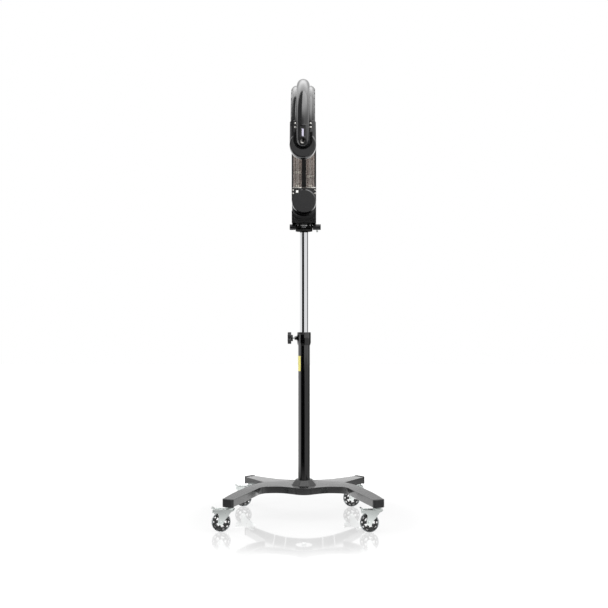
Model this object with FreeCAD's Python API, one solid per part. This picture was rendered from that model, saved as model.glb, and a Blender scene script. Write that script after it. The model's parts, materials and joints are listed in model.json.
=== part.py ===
import FreeCAD, Part
import math
import os

# Hair colour processor: a hooked infrared heater arm on a height-adjustable caster stand.
# Millimetres. +X is the operator's right, +Y runs away from the client's chair side, +Z is up.
# The origin is on the floor, under the axis of the column.

V = FreeCAD.Vector
X_AXIS = V(1, 0, 0)
Y_AXIS = V(0, 1, 0)
Z_AXIS = V(0, 0, 1)

# ---------------------------------------------------------------- driving dimensions
# casters
wheel_r = 37.5
wheel_width = 24.0
wheel_rim_r = 34.0
caster_trail = 32.0
axle_r = 4.0
running_gap = 0.05
fork_inside = 29.0
fork_sheet = 3.0
fork_top_z = 88.0
race_top_z = 93.0
brake_pin_z = 79.0
brake_pin_r = 2.5
stem_r = 5.5
stem_top = 123.0
stem_places = {
    "front_left": (-292.0, -243.0),
    "front_right": (292.0, -243.0),
    "back_left": (-242.0, 227.0),
    "back_right": (242.0, 227.0),
}

# four-legged base casting
base_hub_bottom = 113.0
base_hub_top = 141.0
base_tip_bottom = 99.0
base_tip_top = 128.0
bow_step = 2.0
base_hub_r = 110.0
base_reach = 430.0
base_wall = 5.0
stem_boss_r = 15.0
column_boss_r = 36.0
cap_depth = 9.0
cap_reach = 5.0
cap_corner = 7.0
cap_bottom = 99.5
cap_top = 130.5
foot_cover_low_flats = 104.0
foot_cover_high_flats = 67.0
foot_cover_top = 162.0
foot_cover_wall = 4.0

# column
outer_tube_r = 25.0
outer_tube_bore = 23.0
inner_tube_r = 17.5
inner_tube_bore = 16.0
column_seat_z = 117.0
column_plug_top = 145.0
column_bolt_r = 6.0
outer_tube_top = 740.0
inner_tube_bottom = 555.0
inner_tube_top = 1203.0
collar_bottom = 727.0
collar_top = 782.0
collar_r = 29.3
knob_z = 757.0
knob_lobes = 6
knob_lobe_r = 6.8
knob_lobe_place = 18.0
knob_screw_r = 3.0

# tilt joint on top of the column
tilt_z = 1227.0
spigot_bottom = 1160.0
flange_bottom = 1209.0
flange_top = 1216.0
flange_r = 35.5
tilt_axle_r = 5.0
tilt_head_r = 12.2
tilt_head_end = -60.5
tilt_grip_r = 12.2
tilt_grip_end = 71.0
tilt_pin_x = 56.0
tilt_pin_r = 3.6
tilt_pin_drop = 21.5
tilt_lug_r = 10.5
ear_thickness = 9.0
ear_inside = 27.0
yoke_half_width = 34.0

# swing hub
swing_z = 1333.0
hub_half_width = 51.0
hub_bottom = 1241.0
saddle_front = -46.0
saddle_wall = 8.0
saddle_corner_z = 1291.0
saddle_cut_r = 66.0
housing_front = 38.0
housing_split = 70.0
housing_back = 118.0
housing_wall = 3.0
shaft_r = 10.0
bearing_r = 21.0

# swing gears
gear_module = 1.5
gear_teeth = 48
pinion_teeth = 12
gear_y = 56.0
gear_width = 8.0
gear_slack = 0.6
pinion_trim = 0.35
gear_trim = 0.2
pinion_z = swing_z - gear_module * (gear_teeth + pinion_teeth) / 2
motor_flange_y = 66.0
motor_post_x = 22.0

# mains inlet and switch, in one module on the back of the hub
inlet_low = 1259.0
inlet_high = 1283.0
switch_x = (14.0, 30.0)
switch_pivot = (113.0, 1271.0)
switch_tilt = 8.0
socket_x = (-31.0, -7.0)
screw_r = 3.0
hub_screw_places = [(-42, 1251), (42, 1251), (-42, 1340), (42, 1340)]
saddle_screw_places = [(-40, 1259), (40, 1259)]

# hooked arm: distances r are measured from the centre of its bend
bend_y = -192.0
bend_z = 1573.0
spine_r = 25.5
spine_bend_r = 199.0
arm_inner_r = 158.0
arm_outer_r = 198.0
shell_half_width = 47.0
shell_wall = 2.0
channel_half_width = shell_half_width - shell_wall
channel_floor_r = 171.0
pod_turn = 6.0
front_pod_half = 49.7
front_disc_z = 1501.5
front_disc_r = 50.8
front_disc_rise = 3.0
root_pod_half = 51.5
root_disc_r = 50.6
root_disc_rise = 5.0
root_back_y = 32.5
nose_z = 1515.0
dial_z = 1509.0
recess_half = 36.7
recess_low = 1520.0
recess_high = 1562.0
recess_tilt = 4.0
slot_half = 9.5
slot_low = 1527.0
slot_high = 1568.0
light_half = 3.7
light_low = 1528.0
light_high = 1557.0
dial_r = 15.7
dial_shaft_r = 3.0
spine_bottom = 1367.0
channel_start_far = 1390.0
channel_start_near = 1517.0
rib_half_width = 9.0
heater_x = 27.0
heater_r = 4.0
heater_gap = 0.8
clip_places = [(-27.0, 1449.0), (27.0, 1432.0)]
clip_length = 12.0
vent_pitch = 10.7
vent_length = 16.0
guard_wire = 2.0
guard_wire_places = (17.0, 26.5, 36.0)
front_screw_places = [(-30, 1566.5), (30, 1566.5), (-30, 1581), (30, 1581)]
root_screw_places = [(-46, 1364.5), (46, 1364.5), (-46, 1378.6), (46, 1378.6)]
front_screw_r = 2.8
window_x = (-35.0, -21.5)
window_z = (1366.0, 1379.5)
window_rise = 0.6

bend_centre = V(0, bend_y, bend_z)


# ---------------------------------------------------------------- helpers
def save(name, solids):
    """Write one node: a solid, or a group of separate solids."""
    shape = solids if isinstance(solids, Part.Shape) else Part.makeCompound(solids)
    shape.exportStep("parts/" + name + ".step")


def box(x0, x1, y0, y1, z0, z1):
    return Part.makeBox(x1 - x0, y1 - y0, z1 - z0, V(x0, y0, z0))


def rod(axis, centre, radius, start, end):
    """A round bar along X, Y or Z; centre gives the other two coordinates."""
    a, b = centre
    foot = {"X": V(start, a, b), "Y": V(a, start, b), "Z": V(a, b, start)}[axis]
    way = {"X": X_AXIS, "Y": Y_AXIS, "Z": Z_AXIS}[axis]
    return Part.makeCylinder(radius, end - start, foot, way)


def tube(axis, centre, radius, bore, start, end):
    return rod(axis, centre, radius, start, end).cut(rod(axis, centre, bore, start - 1, end + 1))


def fuse(solids):
    joined = solids[0].fuse(list(solids[1:]))
    return joined.removeSplitter()


def face_of(place, steps):
    """A face from an outline. A step is a point, or a pair: a point on an arc and its end."""
    edges = []
    here = place(*steps[0])
    first = here
    for step in list(steps[1:]) + [steps[0]]:
        if isinstance(step[0], tuple):
            middle = place(*step[0])
            there = place(*step[1])
            edges.append(Part.Arc(here, middle, there).toShape())
        else:
            there = place(*step)
            if there.distanceToPoint(here) < 1e-6:
                continue
            edges.append(Part.LineSegment(here, there).toShape())
        here = there
    if here.distanceToPoint(first) > 1e-6:
        edges.append(Part.LineSegment(here, first).toShape())
    return Part.Face(Part.Wire(edges))


def on_floor_plan(x, y):
    return V(x, y, 0)


def plate_xz(steps, y0, y1):
    """A flat plate whose outline is drawn in X and Z, from y0 to y1."""
    return face_of(lambda x, z: V(x, y0, z), steps).extrude(V(0, y1 - y0, 0))


def turned(profile, axis_point, axis):
    """A full revolve of a profile face."""
    return profile.revolve(axis_point, axis, 360)


def hexagon(axis, centre, across_corners, start, end):
    a, b = centre
    points = []
    for i in range(6):
        u = a + across_corners * math.cos(math.pi * i / 3)
        w = b + across_corners * math.sin(math.pi * i / 3)
        points.append({"X": V(start, u, w), "Y": V(u, start, w), "Z": V(u, w, start)}[axis])
    way = {"X": X_AXIS, "Y": Y_AXIS, "Z": Z_AXIS}[axis]
    return Part.Face(Part.makePolygon(points + points[:1])).extrude(way * (end - start))


def mirrored(shape):
    return shape.mirror(V(0, 0, 0), X_AXIS)


# ---------------------------------------------------------------- hooked arm tools
def on_arm_section(x, r):
    """A point of the arm's cross-section, where the bend meets the back leg."""
    return V(x, bend_y + r, bend_z)


def round_bend(section, start, turn):
    face = section.copy()
    face.rotate(bend_centre, X_AXIS, start)
    return face.revolve(bend_centre, X_AXIS, turn)


def down_leg(section, near, drop):
    face = section.copy()
    if near:
        face.rotate(bend_centre, X_AXIS, 180)
    return face.extrude(V(0, 0, -drop))


def hooked(section, far_drop, near_drop):
    """The section carried up the back leg, round the bend and down the front leg."""
    parts = [round_bend(section, 0, 180)]
    if far_drop > 0:
        parts.append(down_leg(section, False, far_drop))
    if near_drop > 0:
        parts.append(down_leg(section, True, near_drop))
    return fuse(parts)


def on_bend(shape, angle):
    """Turn a shape that was made at the start of the bend to its place along it."""
    placed = shape.copy()
    placed.rotate(bend_centre, X_AXIS, angle)
    return placed


def strip(x0, x1, r0, r1):
    return face_of(on_arm_section, [(x0, r0), (x1, r0), (x1, r1), (x0, r1)])


# ---------------------------------------------------------------- base
def leg_end(name):
    """The two corners of a leg's end edge."""
    if name.startswith("front"):
        inner, outer = V(-276, -275, 0), V(-318, -255, 0)
    else:
        inner, outer = V(-232, 273, 0), V(-269, 236, 0)
    if name.endswith("right"):
        inner.x = -inner.x
        outer.x = -outer.x
    return inner, outer


def at_leg_end(shape, name):
    """Put a shape on the end of a leg. It is drawn at the origin, with +Y as the way out of the leg."""
    inner, outer = leg_end(name)
    middle = (inner + outer) * 0.5
    along = outer - inner
    out = V(along.y, -along.x, 0)
    if out.dot(middle) < 0:
        out = out * -1
    placed = shape.copy()
    placed.rotate(V(0, 0, 0), Z_AXIS, math.degrees(math.atan2(out.y, out.x)) - 90)
    placed.translate(middle)
    return placed


def base_plan():
    """One half of the plan is drawn and the other half follows by symmetry."""
    left = [
        ((0, -96), (-40, -82)),
        ((-88, -58), (-147, -47)),
        ((-173, -54), (-190, -80)),
        ((-222, -157), (-276, -275)),
        (-318, -255),
        ((-292, -165), (-252, -66)),
        ((-222, 2), (-178, 54)),
        ((-173, 61), (-176, 70)),
        ((-219, 150), (-269, 236)),
        (-232, 273),
        ((-181, 212), (-126, 158)),
        ((-66, 123), (0, 110)),
    ]
    steps = [(40, -82), left[0]] + left[1:]
    right = []
    for i in range(len(left) - 1, 0, -1):
        before = left[i - 1]
        end = before[1] if isinstance(before[0], tuple) else before
        if isinstance(left[i][0], tuple):
            middle = left[i][0]
            right.append(((-middle[0], middle[1]), (-end[0], end[1])))
        else:
            right.append((-end[0], end[1]))
    return face_of(on_floor_plan, steps + right)


def base_envelope(lower, raise_by):
    """The casting's thickness as a turned profile: thick at the hub, lower at the leg ends."""
    profile = [
        (0, base_hub_bottom - lower), (base_hub_r, base_hub_bottom - lower),
        (base_reach, base_tip_bottom - lower), (base_reach, base_tip_top + raise_by),
        (base_hub_r, base_hub_top + raise_by), (0, base_hub_top + raise_by),
    ]
    return turned(face_of(lambda x, z: V(x, 0, z), profile), V(0, 0, 0), Z_AXIS)


def base_frame():
    plan = base_plan()
    body = plan.extrude(V(0, 0, 200)).common(base_envelope(0, 0))
    behind_bow = face_of(on_floor_plan, [
        (-178, 56), ((-104, 88), (0, 102)), ((104, 88), (178, 56)),
        (330, 60), (330, 330), (-330, 330), (-330, 60)])
    body = body.cut(behind_bow.extrude(V(0, 0, 200)).cut(base_envelope(20, -bow_step)))
    inner = plan.makeOffset2D(-base_wall)
    hollow = inner.extrude(V(0, 0, 200)).common(base_envelope(20, -base_wall))
    hollow = hollow.cut(rod("Z", (0, 0), column_boss_r, 90, 150))
    for side in (-1, 1):
        for rib_x in (80.0, 130.0):
            hollow = hollow.cut(box(side * rib_x - 2, side * rib_x + 2, -200, 200, 90, 150))
    for x, y in stem_places.values():
        hollow = hollow.cut(rod("Z", (x, y), stem_boss_r, 90, 150))
    body = body.cut(hollow)
    for name, (x, y) in stem_places.items():
        body = body.cut(at_leg_end(box(-40, 40, -cap_depth, 40, 90, 160), name))
        body = body.cut(rod("Z", (x, y), stem_r, 90, stem_top))
    body = body.cut(rod("Z", (0, 0), outer_tube_r, column_seat_z, 160))
    body = body.cut(rod("Z", (0, 0), column_bolt_r, 100, 130))
    return body


def leg_end_caps():
    """Faceted end blocks that close the open ends of the legs."""
    caps = []
    for name, place in stem_places.items():
        inner, outer = leg_end(name)
        wide = (outer - inner).Length / 2 + 1
        plan = [
            (-wide, -cap_depth), (wide, -cap_depth), (wide, cap_reach - cap_corner),
            (wide - cap_corner, cap_reach), (cap_corner - wide, cap_reach), (-wide, cap_reach - cap_corner),
        ]
        cap = face_of(lambda u, v: V(u, v, cap_bottom), plan).extrude(V(0, 0, cap_top - cap_bottom))
        caps.append(at_leg_end(cap, name).cut(rod("Z", place, stem_r + 0.2, 90, stem_top)))
    return caps


def eight_sided(low_flats, high_flats, z0, z1):
    """A tapered block with eight flat sides, given by its widths across the flats."""
    def ring(across_flats, z):
        reach = across_flats / 2 / math.cos(math.pi / 8)
        angles = [math.pi * (2 * i + 1) / 8 for i in range(8)]
        return [V(reach * math.cos(a), reach * math.sin(a), z) for a in angles]
    low, high = ring(low_flats, z0), ring(high_flats, z1)
    loops = [low, high]
    for i in range(8):
        k = (i + 1) % 8
        loops.append([low[i], low[k], high[k], high[i]])
    faces = [Part.Face(Part.makePolygon(loop + loop[:1])) for loop in loops]
    block = Part.Solid(Part.Shell(faces))
    if block.Volume < 0:
        block.reverse()
    return block


def foot_cover():
    """An eight-sided tapered skirt that hides the joint of the column and the base."""
    low, high = foot_cover_low_flats, foot_cover_high_flats
    wall = 2 * foot_cover_wall
    outside = eight_sided(low, high, base_hub_top, foot_cover_top)
    inside = eight_sided(low - wall, high - wall, base_hub_top - 1, foot_cover_top - foot_cover_wall)
    return outside.cut(inside).cut(rod("Z", (0, 0), outer_tube_r, 100, 200))


def caster_stems():
    """Threaded stems: a fastening nut under the leg and a head that holds the fork."""
    stems = []
    for centre in stem_places.values():
        stem = rod("Z", centre, stem_r, 81.0, stem_top)
        nut = hexagon("Z", centre, 11.0, race_top_z + 0.5, cap_bottom)
        head = rod("Z", centre, 9.0, 79.0, fork_top_z - fork_sheet - 0.5)
        stems.append(fuse([stem, nut, head]))
    return stems


# ---------------------------------------------------------------- casters
def caster_fork(x, y):
    """Two cheeks with a wing over the tyre, under a top sheet with the swivel race."""
    axle_x = x - caster_trail
    half = fork_inside / 2
    wing = axle_x - 32.5
    cheek = [
        (x + 21, fork_top_z), (wing, fork_top_z), (wing, 74),
        ((axle_x - 19, 76.5), (axle_x - 7.7, 67)), (axle_x - 11, 41),
        ((axle_x, wheel_r - 10.5), (axle_x + 11, 41)), (axle_x + 27, 60.5), (x + 9, 79), (x + 21, 85),
    ]
    parts = []
    for y0 in (y - half - fork_sheet, y + half):
        parts.append(plate_xz(cheek, y0, y0 + fork_sheet))
    parts.append(box(x - 22, x + 21, y - half, y + half, fork_top_z - fork_sheet, fork_top_z))
    parts.append(rod("Z", (x, y), 17.0, fork_top_z, race_top_z))
    reach = half + fork_sheet
    parts.append(rod("Y", (axle_x, wheel_r), axle_r, y - reach - 3, y + reach + 3))
    for start in (y - reach - 2.5, y + reach):
        parts.append(hexagon("Y", (axle_x, wheel_r), 7.0, start, start + 2.5))
    parts.append(rod("Y", (axle_x - 5.5, brake_pin_z), brake_pin_r, y - reach, y + reach))
    fork = fuse(parts)
    return fork.cut(rod("Z", (x, y), stem_r + running_gap, 75, 110))


def ring_windows(x, y, count, inner, outer, share):
    """Openings between two radii of a wheel, each with four straight sides."""
    cutters = []
    half = math.pi / count * share
    for i in range(count):
        turn = 2 * math.pi * i / count
        corners = []
        for r, side in ((inner, -1), (outer, -1), (outer, 1), (inner, 1)):
            a = turn + side * half
            corners.append(V(x + r * math.cos(a), y - wheel_width, wheel_r + r * math.sin(a)))
        face = Part.Face(Part.makePolygon(corners + corners[:1]))
        cutters.append(face.extrude(V(0, 2 * wheel_width, 0)))
    return cutters


def wheel_core(x, y):
    half = wheel_width / 2
    axle_x = x - caster_trail
    rim = rod("Y", (axle_x, wheel_r), wheel_rim_r, y - half, y + half)
    boss = rod("Y", (axle_x, wheel_r), 8.0, y - fork_inside / 2 + 0.3, y + fork_inside / 2 - 0.3)
    core = rim.fuse(boss).removeSplitter()
    core = core.cut(rod("Y", (axle_x, wheel_r), axle_r + running_gap, y - 20, y + 20))
    core = core.cut(ring_windows(axle_x, y, 10, 27.0, 32.5, 0.62))
    return core.cut(ring_windows(axle_x, y, 5, 12.0, 23.5, 0.62))


def wheel_tyre(x, y):
    half = wheel_width / 2
    return tube("Y", (x - caster_trail, wheel_r), wheel_r, wheel_rim_r, y - half, y + half)


def caster_brake(x, y):
    """A foot pedal on a cross pin, with a turned-up end and a pad that is pressed on the tyre."""
    half = fork_inside / 2 - 0.5
    axle_x = x - caster_trail
    pedal = plate_xz([
        (axle_x + 8, 83.5), (axle_x + 8, 86.5), (axle_x - 23, 86.5), (axle_x - 31, 94), (axle_x - 38, 95),
        (axle_x - 38, 92.5), (axle_x - 32, 91.5), (axle_x - 24, 83.5),
    ], y - half, y + half)
    pad = plate_xz([
        (axle_x - 25, 84), (axle_x - 15, 84), (axle_x - 15, 75.5), (axle_x - 27, 67.5), (axle_x - 27, 76),
    ], y - 9, y + 9)
    parts = [pedal, pad]
    lug = [(axle_x - 11, 84), (axle_x - 11, 75.5), (axle_x, 75.5), (axle_x, 84)]
    for y0 in (y - half, y + half - 1.8):
        parts.append(plate_xz(lug, y0, y0 + 1.8))
    brake = fuse(parts)
    return brake.cut(rod("Y", (axle_x - 5.5, brake_pin_z), brake_pin_r + running_gap, y - 20, y + 20))


# ---------------------------------------------------------------- column
def height_collar():
    """A turned sleeve with a boss for the clamping screw."""
    profile = [
        (inner_tube_r + 0.5, collar_top), (collar_r - 1, collar_top), (collar_r, collar_top - 6),
        (collar_r, collar_bottom + 11), (collar_r - 3, collar_bottom), (outer_tube_r, collar_bottom),
        (outer_tube_r, outer_tube_top), (24, outer_tube_top), (24, collar_top - 3),
        (inner_tube_r + 0.5, collar_top - 3),
    ]
    sleeve = turned(face_of(lambda x, z: V(x, 0, z), profile), V(0, 0, 0), Z_AXIS)
    flare = Part.makeCone(15, 8, 6, V(-27, 0, knob_z), V(-1, 0, 0))
    boss = rod("X", (0, knob_z), 8.0, -40, -27)
    inside = rod("Z", (0, 0), 27, 700, 800)
    collar = fuse([sleeve, flare.cut(inside), boss.cut(inside)])
    return collar.cut(rod("X", (0, knob_z), knob_screw_r + running_gap, -50, 0))


def collar_bush():
    bush = tube("Z", (0, 0), 24.0, inner_tube_r + running_gap, outer_tube_top, collar_top - 3)
    return bush.cut(rod("X", (0, knob_z), knob_screw_r + 0.5, -50, 0))


def height_knob():
    """A lobed hand knob on a stepped hub."""
    parts = [rod("X", (0, knob_z), 16.5, -69, -54), rod("X", (0, knob_z), 13.5, -54, -47)]
    for i in range(knob_lobes):
        turn = math.pi / 2 + 2 * math.pi * i / knob_lobes
        place = (knob_lobe_place * math.cos(turn), knob_z + knob_lobe_place * math.sin(turn))
        parts.append(rod("X", place, knob_lobe_r, -69, -54))
    return fuse(parts).cut(rod("X", (0, knob_z), knob_screw_r, -62, 0))


# ---------------------------------------------------------------- tilt joint
def swivel_bracket():
    """A flange with two ears, on a spigot that turns in the top of the inner tube."""
    parts = [
        rod("Z", (0, 0), inner_tube_bore - running_gap, spigot_bottom, inner_tube_top + 1),
        rod("Z", (0, 0), inner_tube_r - 0.5, inner_tube_top + 0.4, flange_bottom),
        rod("Z", (0, 0), flange_r, flange_bottom, flange_top),
    ]
    for x0 in (-ear_inside - ear_thickness, ear_inside):
        ear = [(-tilt_lug_r, flange_top), (-tilt_lug_r, tilt_z),
               ((0, tilt_z + tilt_lug_r), (tilt_lug_r, tilt_z)), (tilt_lug_r, flange_top)]
        face = face_of(lambda y, z: V(x0, y, z), ear)
        parts.append(face.extrude(V(ear_thickness, 0, 0)))
    return fuse(parts).cut(rod("X", (0, tilt_z), tilt_axle_r, -60, 60))


def tilt_axle():
    """A through bolt with a round knurled head on the left."""
    head_start = -ear_inside - ear_thickness - 0.5
    return fuse([rod("X", (0, tilt_z), tilt_axle_r, -50, 60),
                 rod("X", (0, tilt_z), tilt_head_r, tilt_head_end, head_start)])


def tilt_spring():
    """A coil spring round the bolt, between the lugs of the yoke, wound from square wire."""
    coil_r = 8.4
    half_wire = 1.3
    first_x = -10.5
    pitch = 4.6
    steps_per_turn = 14
    steps = round(4.3 * steps_per_turn)
    rings = []
    for i in range(steps + 1):
        turn = 2 * math.pi * i / steps_per_turn
        x = first_x + pitch * i / steps_per_turn
        ring = []
        for r, dx in ((-1, -1), (1, -1), (1, 1), (-1, 1)):
            reach = coil_r + r * half_wire
            ring.append(V(x + dx * half_wire, reach * math.cos(turn), tilt_z + reach * math.sin(turn)))
        rings.append(ring)
    faces = [Part.Face(Part.makePolygon(end + end[:1])) for end in (rings[0], rings[-1])]
    for a, b in zip(rings, rings[1:]):
        for k in range(4):
            n = (k + 1) % 4
            faces.append(Part.Face(Part.makePolygon([a[k], a[n], b[n], a[k]])))
            faces.append(Part.Face(Part.makePolygon([a[k], b[n], b[k], a[k]])))
    coil = Part.Solid(Part.Shell(faces))
    if coil.Volume < 0:
        coil.reverse()
    return coil


def tilt_knob():
    """A round grip with a cross pin, threaded on the right end of the tilt bolt."""
    grip = fuse([rod("X", (0, tilt_z), tilt_grip_r, ear_inside + ear_thickness + 1, tilt_grip_end),
                 rod("Z", (tilt_pin_x, 0), tilt_pin_r, tilt_z - tilt_pin_drop, tilt_z)])
    return grip.cut(rod("X", (0, tilt_z), tilt_axle_r + running_gap, 30, 61))


def tilt_yoke():
    """The hub's underplate with two lugs that turn on the tilt bolt."""
    half = yoke_half_width
    plate = box(-half, half, saddle_front + 4, housing_front - 4, hub_bottom - 2, hub_bottom)
    parts = [plate]
    for x0 in (-25.0, 13.0):
        lug = [(-tilt_lug_r, hub_bottom - 1), (-tilt_lug_r, tilt_z),
               ((0, tilt_z - tilt_lug_r), (tilt_lug_r, tilt_z)), (tilt_lug_r, hub_bottom - 1)]
        parts.append(face_of(lambda y, z: V(x0, y, z), lug).extrude(V(12, 0, 0)))
    return fuse(parts).cut(rod("X", (0, tilt_z), tilt_axle_r + running_gap, -60, 60))


# ---------------------------------------------------------------- swing hub
def hub_saddle():
    """The hub's lower housing: a hollowed cradle under the arm's root disc."""
    half = hub_half_width
    wall_back = saddle_front + saddle_wall
    body = box(-half, half, saddle_front, housing_front, hub_bottom, saddle_corner_z)
    lip = tube("Y", (0, swing_z), saddle_cut_r + 11, saddle_cut_r, saddle_front - 2, saddle_front)
    lip = lip.common(box(-half, half, -60, 0, hub_bottom, saddle_corner_z))
    body = body.cut(rod("Y", (0, swing_z), saddle_cut_r, -80, 80))
    body = body.cut(box(-60, 60, wall_back, 60, saddle_corner_z - 14, saddle_corner_z + 4))
    hollow = box(-half + 3, half - 3, saddle_front + 3, housing_front - 3, hub_bottom - 6, hub_bottom + 20)
    body = body.cut(hollow)
    seam = hub_bottom + 10
    body = fuse([body, lip])
    body = body.cut(box(-60, 60, saddle_front - 1, saddle_front + 0.8, seam - 0.6, seam + 0.6))
    return body.cut([rod("Y", p, screw_r, saddle_front - 1, saddle_front + 1) for p in saddle_screw_places])


def housing_outline(inset):
    half = root_pod_half - inset
    top = swing_z + 2
    return [(-half, hub_bottom + inset), (half, hub_bottom + inset), (half, top),
            ((0, top + half), (-half, top))]


def gearbox_housing():
    shell = plate_xz(housing_outline(0), housing_front, housing_split)
    room = plate_xz(housing_outline(housing_wall), housing_front + housing_wall, housing_split + 1)
    parts = [shell.cut(room), rod("Y", (0, swing_z), bearing_r + 4, housing_front, gear_y - 3)]
    for x in (-motor_post_x, motor_post_x):
        parts.append(rod("Y", (x, pinion_z), 4.0, housing_front + 1, motor_flange_y))
    return fuse(parts).cut(rod("Y", (0, swing_z), bearing_r, 30, 60))


def rear_cover():
    """The back half of the housing, with openings for the inlet and the switch."""
    shell = plate_xz(housing_outline(0), housing_split, housing_back)
    back_edges = [e for e in shell.Edges if e.BoundBox.YMin > housing_back - 0.1]
    shell = shell.makeChamfer(6, back_edges)
    room = plate_xz(housing_outline(housing_wall + 3), housing_split - 1, housing_back - housing_wall)
    cover = shell.cut(room)
    cover = cover.cut(box(-36, 33, 100, 130, inlet_low, inlet_high))
    return cover.cut([rod("Y", p, screw_r, housing_back - 1.5, 130) for p in hub_screw_places])


def mains_inlet():
    """A three-pin inlet socket and a switch well in one moulded block."""
    block = fuse([box(-36, 33, housing_back - 22, housing_back, inlet_low, inlet_high),
                  box(-40, 37, housing_back, housing_back + 2, inlet_low - 3, inlet_high + 3)])
    block = block.cut(box(socket_x[0], socket_x[1], housing_back - 16, housing_back + 3,
                          inlet_low + 3, inlet_high - 3))
    left, right = switch_x
    block = block.cut(box(left, right, housing_back - 14, housing_back + 3, inlet_low + 1, inlet_high - 1))
    block = block.cut(rod("X", switch_pivot, 1.5 + running_gap, left - 2.5, right + 2.5))
    pins = [block]
    for x, rise in ((-26, 10), (-12, 10), (-19, 15)):
        z = inlet_low + rise
        pins.append(box(x - 1, x + 1, housing_back - 18, housing_back - 3, z - 2, z + 2))
    return fuse(pins)


def power_switch():
    """A rocker with a hollowed face on a cross pin, drawn in its off position."""
    left, right = switch_x
    y, z = switch_pivot
    outline = [(y - 4, z - 8), (y + 6.5, z - 9), (y + 5, z), (y + 6.5, z + 9), (y - 4, z + 8)]
    cap = face_of(lambda a, b: V(left + 0.5, a, b), outline).extrude(V(right - left - 1, 0, 0))
    rocker = fuse([cap, rod("X", switch_pivot, 1.5, left - 2.2, right + 2.2)])
    rocker.rotate(V(0, y, z), X_AXIS, -switch_tilt)
    return rocker


def control_board():
    """The circuit board of the hub, on four pillars from the back wall."""
    parts = [box(-40, 40, 98, 99.6, swing_z - 38, swing_z + 22)]
    for x in (-34, 34):
        for z in (swing_z - 32, swing_z + 14):
            parts.append(rod("Y", (x, z), 2.5, 99.6, housing_back - housing_wall))
    return fuse(parts)


def swing_motor():
    """A gearmotor behind the pinion, with a mounting flange."""
    motor = fuse([rod("Y", (0, pinion_z), 18.0, motor_flange_y + 2, 90),
                  box(-27, 27, motor_flange_y, motor_flange_y + 2, pinion_z - 9, pinion_z + 9)])
    return motor.cut(rod("Y", (0, pinion_z), 3.0 + running_gap, 60, 80))


def gear_blank(teeth, tip_trim, backlash):
    """A spur gear outline about the origin of X and Z, with flanks of two straight runs."""
    pitch_r = gear_module * teeth / 2
    root_r = pitch_r - 1.3 * gear_module
    tip_r = pitch_r + gear_module - tip_trim
    tooth = math.pi / teeth / 2
    slack = backlash / 2 / pitch_r
    points = []
    for i in range(teeth):
        centre = 2 * math.pi * i / teeth
        for r, half in ((root_r, 1.62 * tooth), (pitch_r, tooth - slack), (tip_r, 0.42 * tooth)):
            points.append((r, centre - half))
        for r, half in ((tip_r, 0.42 * tooth), (pitch_r, tooth - slack), (root_r, 1.62 * tooth)):
            points.append((r, centre + half))
    return points


def spur_gear(teeth, axis_z, turn, bore, trim):
    points = [V(r * math.sin(a + turn), gear_y, axis_z + r * math.cos(a + turn))
              for r, a in gear_blank(teeth, trim, gear_slack)]
    gear = Part.Face(Part.makePolygon(points + points[:1])).extrude(V(0, gear_width, 0))
    return gear.cut(rod("Y", (0, axis_z), bore, 0, 100)) if bore > 0 else gear


def motor_pinion():
    pinion = spur_gear(pinion_teeth, pinion_z, math.pi / pinion_teeth, 0, pinion_trim)
    return fuse([pinion, rod("Y", (0, pinion_z), 3.0, gear_y, 79)])


def swing_shaft():
    return fuse([rod("Y", (0, swing_z), shaft_r, root_back_y, 68),
                 rod("Y", (0, swing_z), 18.0, root_back_y, root_back_y + 3.5)])


# ---------------------------------------------------------------- hooked arm
def spine_tube():
    section = Part.Face(Part.Wire(Part.makeCircle(spine_r, on_arm_section(0, spine_bend_r), Z_AXIS)))
    return hooked(section, bend_z - spine_bottom, 0)


def spine_nose():
    """The rounded end of the spine, with a slot for the light and a seat for the dial."""
    y = bend_y - spine_bend_r
    nose = fuse([rod("Z", (0, y), spine_r, nose_z, bend_z), Part.makeSphere(spine_r, V(0, y, nose_z))])
    return nose


def nose_cuts(nose):
    front = bend_y - spine_bend_r - spine_r
    nose = nose.cut(box(-slot_half, slot_half, front - 5, front + 7, slot_low, slot_high))
    nose = nose.cut(rod("Y", (0, dial_z), dial_r + 0.8, front - 5, front + 5))
    return nose.cut(rod("Y", (0, dial_z), dial_shaft_r + running_gap, front, front + 20))


def light_bar():
    front = bend_y - spine_bend_r - spine_r
    return box(-light_half, light_half, front + 3, front + 7, light_low, light_high)


def control_dial():
    front = bend_y - spine_bend_r - spine_r
    return fuse([rod("Y", (0, dial_z), dial_r, front - 1, front + 4.6),
                 rod("Y", (0, dial_z), dial_shaft_r, front, front + 18)])


def side_shell():
    """The right half of the arm's casing, from its inner rim over the shoulder to the spine."""
    seat_low = 190.0
    spine_edge = math.sqrt(spine_r ** 2 - (spine_bend_r - seat_low) ** 2)
    spine_top = math.sqrt(spine_r ** 2 - (spine_bend_r - arm_outer_r) ** 2)
    seat_mid_r = (seat_low + arm_outer_r) / 2
    seat_mid = math.sqrt(spine_r ** 2 - (spine_bend_r - seat_mid_r) ** 2)
    out = shell_half_width
    section = face_of(on_arm_section, [
        (out, arm_inner_r), (out, 184), (41, 193.5), (38.3, 195.0), (37.6, 193.9), (36.9, 195.8),
        (33, arm_outer_r), (spine_top, arm_outer_r),
        ((seat_mid, seat_mid_r), (spine_edge, seat_low)), (27, 194.5), (32, 194.5),
        (38.5, 191), (out - shell_wall, 183), (out - shell_wall, arm_inner_r),
    ])
    shell = round_bend(section, pod_turn, 180 - 2 * pod_turn)
    half = vent_length / 2
    slot = box(40, 52, bend_y + 185.5, bend_y + 190, bend_z - half, bend_z + half)
    count = int((180 - 2 * pod_turn) / vent_pitch)
    start = 90 - vent_pitch * (count - 1) / 2
    return shell.cut([on_bend(slot, start + i * vent_pitch) for i in range(count)])


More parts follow.
